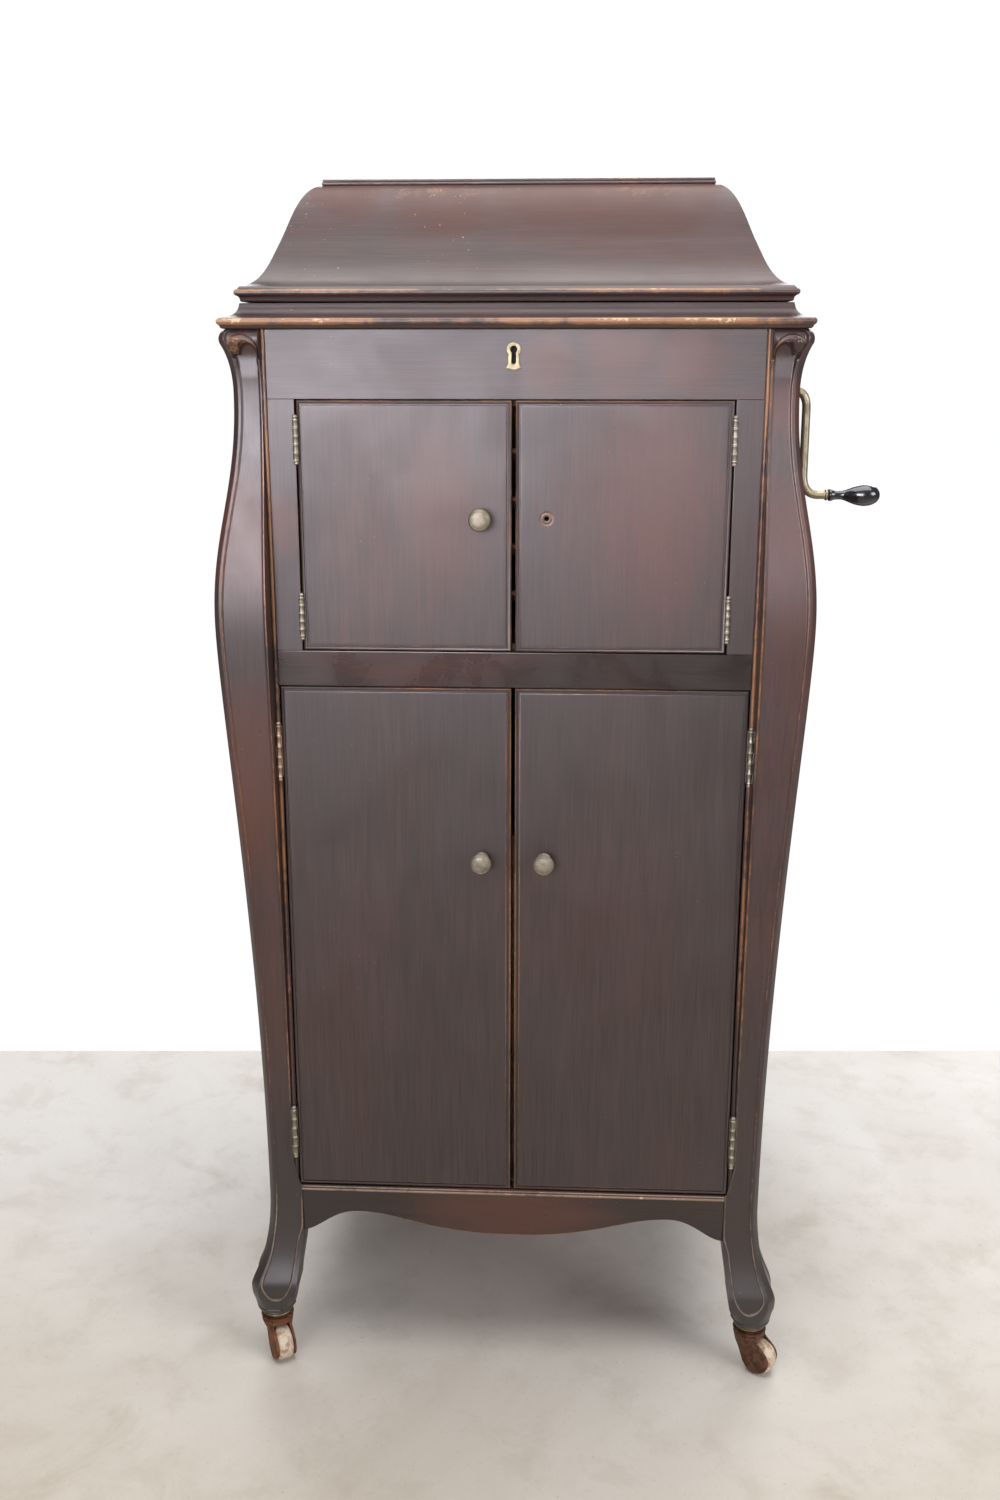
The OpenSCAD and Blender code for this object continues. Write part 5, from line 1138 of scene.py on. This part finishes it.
class CABINET_OT_hinges(bpy.types.Operator):
    """Model the ball-tipped door hinges, the lid hinges and the guide of the lid stay"""

    bl_idname = "cabinet.hinges"
    bl_label = "Hinges"

    def execute(self, context):
        fixed = bmesh.new()
        for level, frame_edge in (("upper", corners("door_upper_right")[1].x + STILE_GAP), ("lower", POST_X)):
            low, high = corners(f"hinge_leaves_{level}_right")
            length = HINGE_LENGTHS[level]
            x, y = high.x - DOOR_BARREL, low.y + DOOR_BARREL
            still, swings = frame_edge - LEAF - x, corners(f"door_{level}_right")[1].x - x
            for side, hand in ((-1, "left"), (1, "right")):
                swung = bmesh.new()
                for z in (low.z + length / 2, high.z - length / 2):
                    half = self.half(length, 0, DOOR_BARREL, still, LEAF_DEPTH)
                    put(half, self.pin(length))
                    put(fixed, flipped(moved(half, at(x, y, z)), side))
                    half = self.half(length, 1, DOOR_BARREL, swings, LEAF_DEPTH)
                    put(swung, flipped(moved(half, at(x, y, z)), side))
                node = f"hinge_leaves_{level}_{hand}"
                finish_piece(f"{node}_turned", swung, f"{level}_{hand}_door", "hinge_brass", [node], 40)
        self.lid_hinges(fixed)
        self.stay_guide(fixed)
        finish_piece("hinge_frame_halves", fixed, "cabinet", "hinge_brass", ["hinge_frame_leaves"], 40)
        dress({"lid_stay": "hinge_brass"})
        return {"FINISHED"}

    def half(self, length, first, radius, x, depth):
        """Leaf, tongues and every second knuckle of half a hinge whose pin stands on the origin."""
        bm = block((x, radius + 0.4, -length / 2), (x + LEAF, depth, length / 2), 0)
        pitch = length / KNUCKLES
        for k in range(first, KNUCKLES, 2):
            low = k * pitch + KNUCKLE_GAP - length / 2
            high = (k + 1) * pitch - KNUCKLE_GAP - length / 2
            put(bm, block((x, 0, low), (x + LEAF, radius + 1, high), 0))
            # each end of a knuckle has a raised ring
            end = [(0, 0, 1), (radius - 0.35, 0, 1), (radius, 0.3, 1), (radius, 0.7, 1),
                   (radius - 0.12, 0.9, 0)]
            knuckle = lifted(end, low) + [(r, high - up, worn) for r, up, worn in reversed(end)]
            put(bm, lathe(knuckle, 24))
        return bm

    def rod(self, length, radius):
        """Plain pin about the origin."""
        return lathe([(0, -length / 2), (radius, -length / 2), (radius, length / 2), (0, length / 2)], 16)

    def pin(self, length):
        """Pin with a ball at each end."""
        bm = self.rod(length, 1.3)
        ball = [(0, -0.3, 0), (1.75, -0.3, 0), (1.7, 0.5, 0)]
        ball += [(2.5 * math.sin(t), 2.2 - 1.75 * math.cos(t), 0.45) for t in np.linspace(0.75, math.pi, 10)]
        ball = lifted(ball, length / 2)
        put(bm, moved(lathe(ball, 24), turned(180, "X")))
        put(bm, lathe(ball, 24))
        return bm

    def lid_hinges(self, fixed):
        """Both halves of the lid hinges, whose pins lie along the back edge."""
        low, high = corners("lid_hinge_leaves")
        length = HINGE_LENGTHS["lid"]
        y, depth = high.y - LID_BARREL, high.y - LID_BARREL - low.y
        turning = bmesh.new()
        for x in (low.x + length / 2, high.x - length / 2):
            spot = at(x, y, (low.z + high.z) / 2) @ LID_TURN
            put(fixed, moved(self.half(length, 0, LID_BARREL, -LID_GAP - LEAF, depth), spot))
            put(fixed, moved(self.rod(length, 1.6), spot))
            put(turning, moved(self.half(length, 1, LID_BARREL, LID_GAP, depth), spot))
        finish_piece("lid_hinge_halves", turning, "lid", "hinge_brass", ["lid_hinge_leaves"], 40)

    def stay_guide(self, fixed):
        """Guide of the lid stay: a plate on the right panel, with a slot."""
        low, high = corners("lid_stay")
        x0, x1, y = low.x + 3, high.x + 0.5, low.y + 22
        panel = corners("side_panels")[1].x - PANEL
        slot = [(x0 - 0.5, y - 5), (x1, y - 5), (x1, y + 6), (x0 - 0.5, y + 6)]
        plate = [(x0 - 6, y - 12), (panel, y - 12), (panel, y + 14), (x0 - 6, y + 14)]
        guide = slab(plate, 7 - CORNICE_TOP, 10 - CORNICE_TOP, 0.4, slot)
        put(fixed, moved(guide, turned(-90, "X")))


# Keyhole and the outline of its plate, round the middle of the keyhole's round end
KEYHOLE = arc(0, 0, 3.0, -57, 237, 21) + arc(0, -10.2, 2.0, 180, 360, 9)
PLATE_SIDE = [(4.1, -4.5), (4.8, -5.1), (4.8, -11.9), (5.5, -13.6), (6.5, -15.2), (6.3, -16.1), (4.4, -16.0),
              (2.6, -16.9)]
PLATE = (PLATE_SIDE[::-1] + arc(0, 0, 6.2, -42, 222, 25)
         + [(-x, z) for x, z in PLATE_SIDE] + [(0, -17.4)])


class CABINET_OT_lock(bpy.types.Operator):
    """Model the lid lock and its keyhole plate"""

    bl_idname = "cabinet.lock"
    bl_label = "Lock"

    def execute(self, context):
        low, high = corners("lid_lock")
        plate = moved(slab(PLATE, -1.5, 0, 0.45, KEYHOLE), at(0, -NECK_Y, middle("lid_lock").z + KEY_LIFT))
        finish_piece("keyhole_plate", plate, "cabinet", "lock_brass", ["lid_lock"], 40)
        finish_piece("lock_case", block((low.x, FRAME_BACK, low.z), high, 0.5), "cabinet", "black_iron")
        return {"FINISHED"}


# ---- Crank --------------------------------------------------------------------------------


class CABINET_OT_crank(bpy.types.Operator):
    """Model the bent crank and its turned handle, and give the bushing in the side panel its finish"""

    bl_idname = "cabinet.crank"
    bl_label = "Crank"

    def execute(self, context):
        dress({"crank_bushing": "brass", "winding_shaft": "steel"})
        axle, socket = middle("winding_shaft").z, corners("winding_shaft")[1].x
        low, high = corners("crank_handle")
        low_z = middle("crank_handle").z
        top_x, low_x = NECK_X + 46.5, NECK_X + 47.5
        path = [(socket + 2, axle), (socket + 14, axle)]
        path += bezier((top_x - 17, axle), (top_x - 6, axle), (top_x, axle - 6), (top_x, axle - 19), 10)
        path += bezier((low_x - 0.6, low_z + 20), (low_x, low_z + 7), (low_x + 5, low_z),
                       (low_x + 16, low_z), 10)
        path += [(low.x - 8, low_z), (low.x - 0.5, low_z)]
        bm = tube([(x, 0, z) for x, z in path], 4.45, 24)
        turn = turned(90, "Y")
        sleeve = [(0, 0), (5.8, 0), (6.4, 0.6), (6.4, 2.6), (5.6, 3.4), (5.6, 9), (6.4, 9.8), (6.4, 11.6),
                  (5.9, 12.2), (0, 12.2)]
        put(bm, moved(lathe([(r, h, 0.3) for r, h in sleeve], 28), at(socket, 0, axle) @ turn))
        collar = [(0, 0), (5.2, 0), (5.9, 0.7), (5.9, 1.9), (5.2, 2.6), (0, 2.6)]
        put(bm, moved(lathe([(r, h, 0.5) for r, h in collar], 28), at(low.x - 3.4, 0, low_z) @ turn))
        finish_piece("crank_bent", bm, "winder", "crank_brass", ["crank"], 40)
        length = high.x - low.x
        outline = [(0, 0, 0), (5.4, 0, 0.2), (6.3, 0.8, 0.5), (6.5, 2.0, 0.4), (6.3, 3.4, 0.3), (5.5, 4.9, 0),
                   (4.95, 7.0, 0), (4.8, 9.5, 0)]
        swell = bezier((4.8, 13), (5.3, 0.36 * length), (10.6, 0.45 * length), (11.5, 0.68 * length), 12)
        crown = bezier((11.5, 0.68 * length), (11.5, 0.88 * length), (6.9, length), (0, length), 12)
        outline += [(r, h, 0) for r, h in swell] + [(r, h, 0.1) for r, h in crown[1:]]
        grip = moved(lathe(outline, 48), at(low.x, 0, low_z) @ turn)
        finish_piece("crank_handle_turned", grip, "grip", "ebony", ["crank_handle"], 50)
        return {"FINISHED"}


# ---- Casters ------------------------------------------------------------------------------


# How far the stems stand inside the neck lines, the wheels' trail behind them and radius, and the forks' top
STEM_IN = 2
TRAIL = 13.0
WHEEL_R = 17.0
CROWN_Z = FOOT_Z - 9.5
AXLE = at(TRAIL, 0, WHEEL_R) @ turned(90, "X")


class CABINET_OT_casters(bpy.types.Operator):
    """Model the four casters: ringed socket, rusted hooded fork and worn wheel"""

    bl_idname = "cabinet.casters"
    bl_label = "Casters"

    def execute(self, context):
        sockets = bmesh.new()
        for end, y in (("front", -1), ("rear", 1)):
            for side, x, look in (("left", -1, "rust"), ("right", 1, "dark_rust")):
                name = f"{end}_{side}"
                spot = at(x * (NECK_X - STEM_IN), y * (NECK_Y - STEM_IN), 0)
                put(sockets, moved(lathe(self.socket(), 40), spot))
                ahead = middle(f"caster_wheel_{name}") - spot.translation
                turn = spot @ Matrix.Rotation(math.atan2(ahead.y, ahead.x), 4, "Z")
                finish_piece(f"caster_yoke_{name}", moved(self.fork(), turn), f"swivel_{name}", look,
                             [f"caster_fork_{name}"], 35)
                finish_piece(f"caster_roller_{name}", moved(self.wheel(), turn), f"roller_{name}", "wheel",
                             [f"caster_wheel_{name}"], 35)
        finish_piece("caster_rings", sockets, "cabinet", "ferrule", ["caster_sockets"], 30)
        return {"FINISHED"}

    def socket(self):
        """Outline of the ring under a foot, with its dark neck."""
        return lifted([(0, -9.0, 0), (12.4, -9.0, 0), (12.6, -6.8, 0), (14.9, -6.6, 0.1), (16.1, -5.8, 0.3),
                       (16.5, -4.8, 0.2), (16.1, -4.1, 0), (15.4, -3.7, 0), (16.1, -3.2, 0.5),
                       (16.8, -2.4, 0.9), (16.9, -1.3, 0.9), (16.4, -0.5, 0.7), (15.6, 0, 0.2), (0, 0, 0)],
                      FOOT_Z)

    def fork(self):
        """Yoke that trails along +X: crown, two cheeks and the axle."""
        crown = [(0, -8.2, 0), (13.6, -8.2, 0.1), (15.6, -7.8, 0.5), (16.2, -6.8, 0.7), (15.6, -5.6, 0.3),
                 (15.5, -4.2, 0), (16.2, -2.4, 0.1), (16.9, -1.2, 0.4), (16.8, -0.3, 0.3), (16.0, 0, 0.1),
                 (4, 0.1, 0), (4, 6, 0), (0, 6, 0)]
        bm = lathe(lifted(crown, CROWN_Z), 40)
        cheek = self.cheek()
        put(bm, flipped(cheek.copy(), 1, -1))
        put(bm, cheek)
        half = [(0, -12.2, 0), (1.6, -12.1, 0.5), (2.6, -11.6, 0.5), (2.8, -11.2, 0)]
        axle = half + [(r, -h, worn) for r, h, worn in reversed(half)]
        put(bm, moved(lathe(axle, 20), AXLE))
        return bm

    def cheek(self):
        """One cheek: it swells from the crown's rim down to a round disc over the wheel."""
        inner, outer, radius = 8.4, 11.4, WHEEL_R - 2
        heights = WHEEL_R - radius * np.cos(np.linspace(0, math.pi / 2, 14))
        heights = np.concatenate([heights, np.linspace(WHEEL_R, CROWN_Z - 4, 18)[1:]])
        n = 15

        def place(i, j):
            z = heights[j]
            half = math.sqrt(max(0.0, radius ** 2 - (z - WHEEL_R) ** 2))
            left, right = TRAIL - half, TRAIL + half
            # above the disc the cheek's edges run to the crown
            if z > WHEEL_R - 4.6:
                disc = left if z < WHEEL_R + radius else math.inf
                left = min(disc, np.interp(z, [12.35, 38, 43], [-1.25, -11.6, -10.8]))
            if z > WHEEL_R + 11.5:
                right = max(right, np.interp(z, [28.55, 38, 43], [22.6, 10.1, 9.3]))
            k = i % (2 * n)
            share = k / (n - 1) if k < n else (2 * n - 1 - k) / (n - 1)
            x = left + (right - left) * share
            if k >= n:
                return (x, inner, z, 0)
            rim = math.sqrt(max(outer ** 2, 16.2 ** 2 - x * x))
            y = outer + float(smooth(25, CROWN_Z - 5, z)) * (rim - outer)
            edge = abs(2 * share - 1) ** 8
            return (x, y - 0.9 * edge, z, 0.6 * edge)

        return closed(2 * n, len(heights) - 1, place)

    def wheel(self):
        """Wheel with a hub and a rounded tread."""
        rim = [(0, -7.2, 0), (6.5, -7.2, 0.1), (7.5, -7.9, 0.2), (13.2, -7.9, 0.1), (14.6, -7.6, 0.3),
               (15.8, -7.0, 0.6), (16.6, -6.0, 0.7), (17, -4.4, 0.3), (17, 0, 0)]
        return moved(lathe(rim + [(r, -h, worn) for r, h, worn in rim[-2::-1]], 56), AXLE)


# ---- Playing deck, motor and horn ---------------------------------------------------------


class CABINET_OT_deck(bpy.types.Operator):
    """Finish the motor board, turntable, tonearm, sound box and controls"""

    bl_idname = "cabinet.deck"
    bl_label = "Playing deck"

    def execute(self, context):
        dress({"motor_board": "inside_wood", "needle_cups": "nickel", "turntable": "nickel",
               "turntable_felt": "felt", "turntable_spindle": "steel", "tonearm_base": "black_iron",
               "tonearm": "nickel", "sound_box": "nickel", "brake_lever": "nickel",
               "speed_regulator": "brass"})
        return {"FINISHED"}


class CABINET_OT_inside(bpy.types.Operator):
    """Finish the motor, the horn with its louvres and the record storage"""

    bl_idname = "cabinet.inside"
    bl_label = "Motor, horn and rack"

    def execute(self, context):
        dress({"motor_frame": "black_iron", "spring_barrel": "steel", "second_wheel": "brass",
               "governor": "brass", "horn": "horn_wood", "louvres": "inside_wood",
               "record_rack": "inside_wood"})
        return {"FINISHED"}


# ---- Stage --------------------------------------------------------------------------------

# The camera stands a little right of the middle, level with the keyhole, and looks down
CAMERA_SPOT = Vector((53.3, -1564.5, 1011.0))
CAMERA_DOWN = 15.18
CAMERA_TURN = 2.88
SENSOR = 36.0
FOCAL_SHARE = 1450 / 1500
# The floor's half width and half depth, and how far its back edge lies behind the middle, in metres
FLOOR_HALF = (3.4, 2.2)
FLOOR_EDGE = 0.433
# Lamps: place, aim and size in metres, power in watts, tint, and spread in degrees
LAMPS = {
    "front_box": ((-0.8, -3.2, 1.4), (0, 0, 1.05), (2.4, 1.3), 15, (0.95, 0.92, 1.0), 50),
    "right_box": ((2.6, -1.9, 1.7), (0, 0, 0.9), (1.4, 1.4), 9, (0.93, 0.95, 1.0), 70),
    "top_box": ((0.1, -0.4, 3.2), (0, 0, 0.6), (3.0, 2.4), 98, (1.0, 0.97, 0.96), 180),
    "rear_box": ((0, 2.6, 2.5), (0, 0, 0.2), (4.0, 1.6), 105, (0.97, 0.98, 1.0), 180),
}
# The white backdrop as the camera sees it, and the light that it sheds
BACKDROP = 1.05
BACKDROP_LIGHT = 0.12


class CABINET_OT_stage(bpy.types.Operator):
    """Set the camera, the soft studio light and the pale floor"""

    bl_idname = "cabinet.stage"
    bl_label = "Stage"

    def execute(self, context):
        scene = context.scene
        lens = bpy.data.cameras.new("camera")
        lens.sensor_fit = "VERTICAL"
        lens.sensor_height = SENSOR
        lens.lens = SENSOR * FOCAL_SHARE
        lens.clip_start = 0.02
        camera = bpy.data.objects.new("camera", lens)
        camera.location = MIDDLE + CAMERA_SPOT * MM
        camera.rotation_euler = (math.radians(90 - CAMERA_DOWN), 0, math.radians(CAMERA_TURN))
        scene.collection.objects.link(camera)
        scene.camera = camera
        scene.view_settings.view_transform = "Standard"
        scene.view_settings.look = "None"
        self.sky(scene)
        for name, setting in LAMPS.items():
            self.lamp(name, *setting)
        bm = bmesh.new()
        bmesh.ops.create_grid(bm, x_segments=1, y_segments=1, size=1.0)
        # its back edge lies square to the camera
        moved(bm, turned(CAMERA_TURN, "Z") @ at(0, FLOOR_EDGE - FLOOR_HALF[1], 0)
              @ Matrix.Diagonal((*FLOOR_HALF, 1, 1)))
        mesh = bpy.data.meshes.new("floor")
        bm.to_mesh(mesh)
        bm.free()
        mesh.materials.append(finish("concrete"))
        floor = bpy.data.objects.new("floor", mesh)
        scene.collection.objects.link(floor)
        return {"FINISHED"}

    def sky(self, scene):
        """White backdrop."""
        world = bpy.data.worlds.new("studio")
        world.use_nodes = True
        tree = world.node_tree
        light = tree.nodes["Background"]
        light.inputs["Color"].default_value = (0.97, 0.98, 1.0, 1.0)
        seen = tree.nodes.new("ShaderNodeLightPath").outputs["Is Camera Ray"]
        strength = tree.nodes.new("ShaderNodeMapRange")
        strength.inputs["To Min"].default_value = BACKDROP_LIGHT
        strength.inputs["To Max"].default_value = BACKDROP
        tree.links.new(seen, strength.inputs["Value"])
        tree.links.new(strength.outputs[0], light.inputs["Strength"])
        scene.world = world

    def lamp(self, name, spot, goal, size, power, tint, spread):
        """Soft box that the camera doesn't see."""
        light = bpy.data.lights.new(name, "AREA")
        light.shape = "RECTANGLE"
        light.size, light.size_y = size
        light.energy = power
        light.color = tint
        light.spread = math.radians(spread)
        lamp = bpy.data.objects.new(name, light)
        lamp.location = spot
        lamp.rotation_euler = (Vector(goal) - Vector(spot)).to_track_quat("-Z", "Y").to_euler()
        lamp.visible_camera = False
        bpy.context.scene.collection.objects.link(lamp)


# ---- Panel and registration ---------------------------------------------------------------

STEPS = ("stage", "posts", "case", "cornice", "lid", "doors", "knobs", "hinges", "lock", "crank", "casters",
         "deck", "inside")


class CABINET_PT_parts(bpy.types.Panel):
    """Lists the pieces of the cabinet"""

    bl_label = "Gramophone Cabinet"
    bl_idname = "CABINET_PT_parts"
    bl_space_type = "VIEW_3D"
    bl_region_type = "UI"
    bl_category = "Cabinet"

    def draw(self, context):
        for group in (context.scene.cabinet_sizes, context.scene.cabinet_colours):
            box = self.layout.box()
            for name in group.bl_rna.properties.keys():
                if name not in ("rna_type", "name"):
                    box.prop(group, name)
        for step in STEPS:
            self.layout.operator(f"cabinet.{step}")


CLASSES = (CabinetSizes, CabinetColours, CABINET_OT_stage, CABINET_OT_posts, CABINET_OT_case,
           CABINET_OT_cornice, CABINET_OT_lid, CABINET_OT_doors, CABINET_OT_knobs, CABINET_OT_hinges,
           CABINET_OT_lock, CABINET_OT_crank, CABINET_OT_casters, CABINET_OT_deck, CABINET_OT_inside,
           CABINET_PT_parts)


def register():
    for item in CLASSES:
        bpy.utils.register_class(item)
    bpy.types.Scene.cabinet_sizes = PointerProperty(type=CabinetSizes)
    bpy.types.Scene.cabinet_colours = PointerProperty(type=CabinetColours)


def unregister():
    del bpy.types.Scene.cabinet_colours
    del bpy.types.Scene.cabinet_sizes
    for item in reversed(CLASSES):
        bpy.utils.unregister_class(item)


def main():
    register()
    for step in STEPS:
        getattr(bpy.ops.cabinet, step)()


if __name__ == "__main__":
    main()
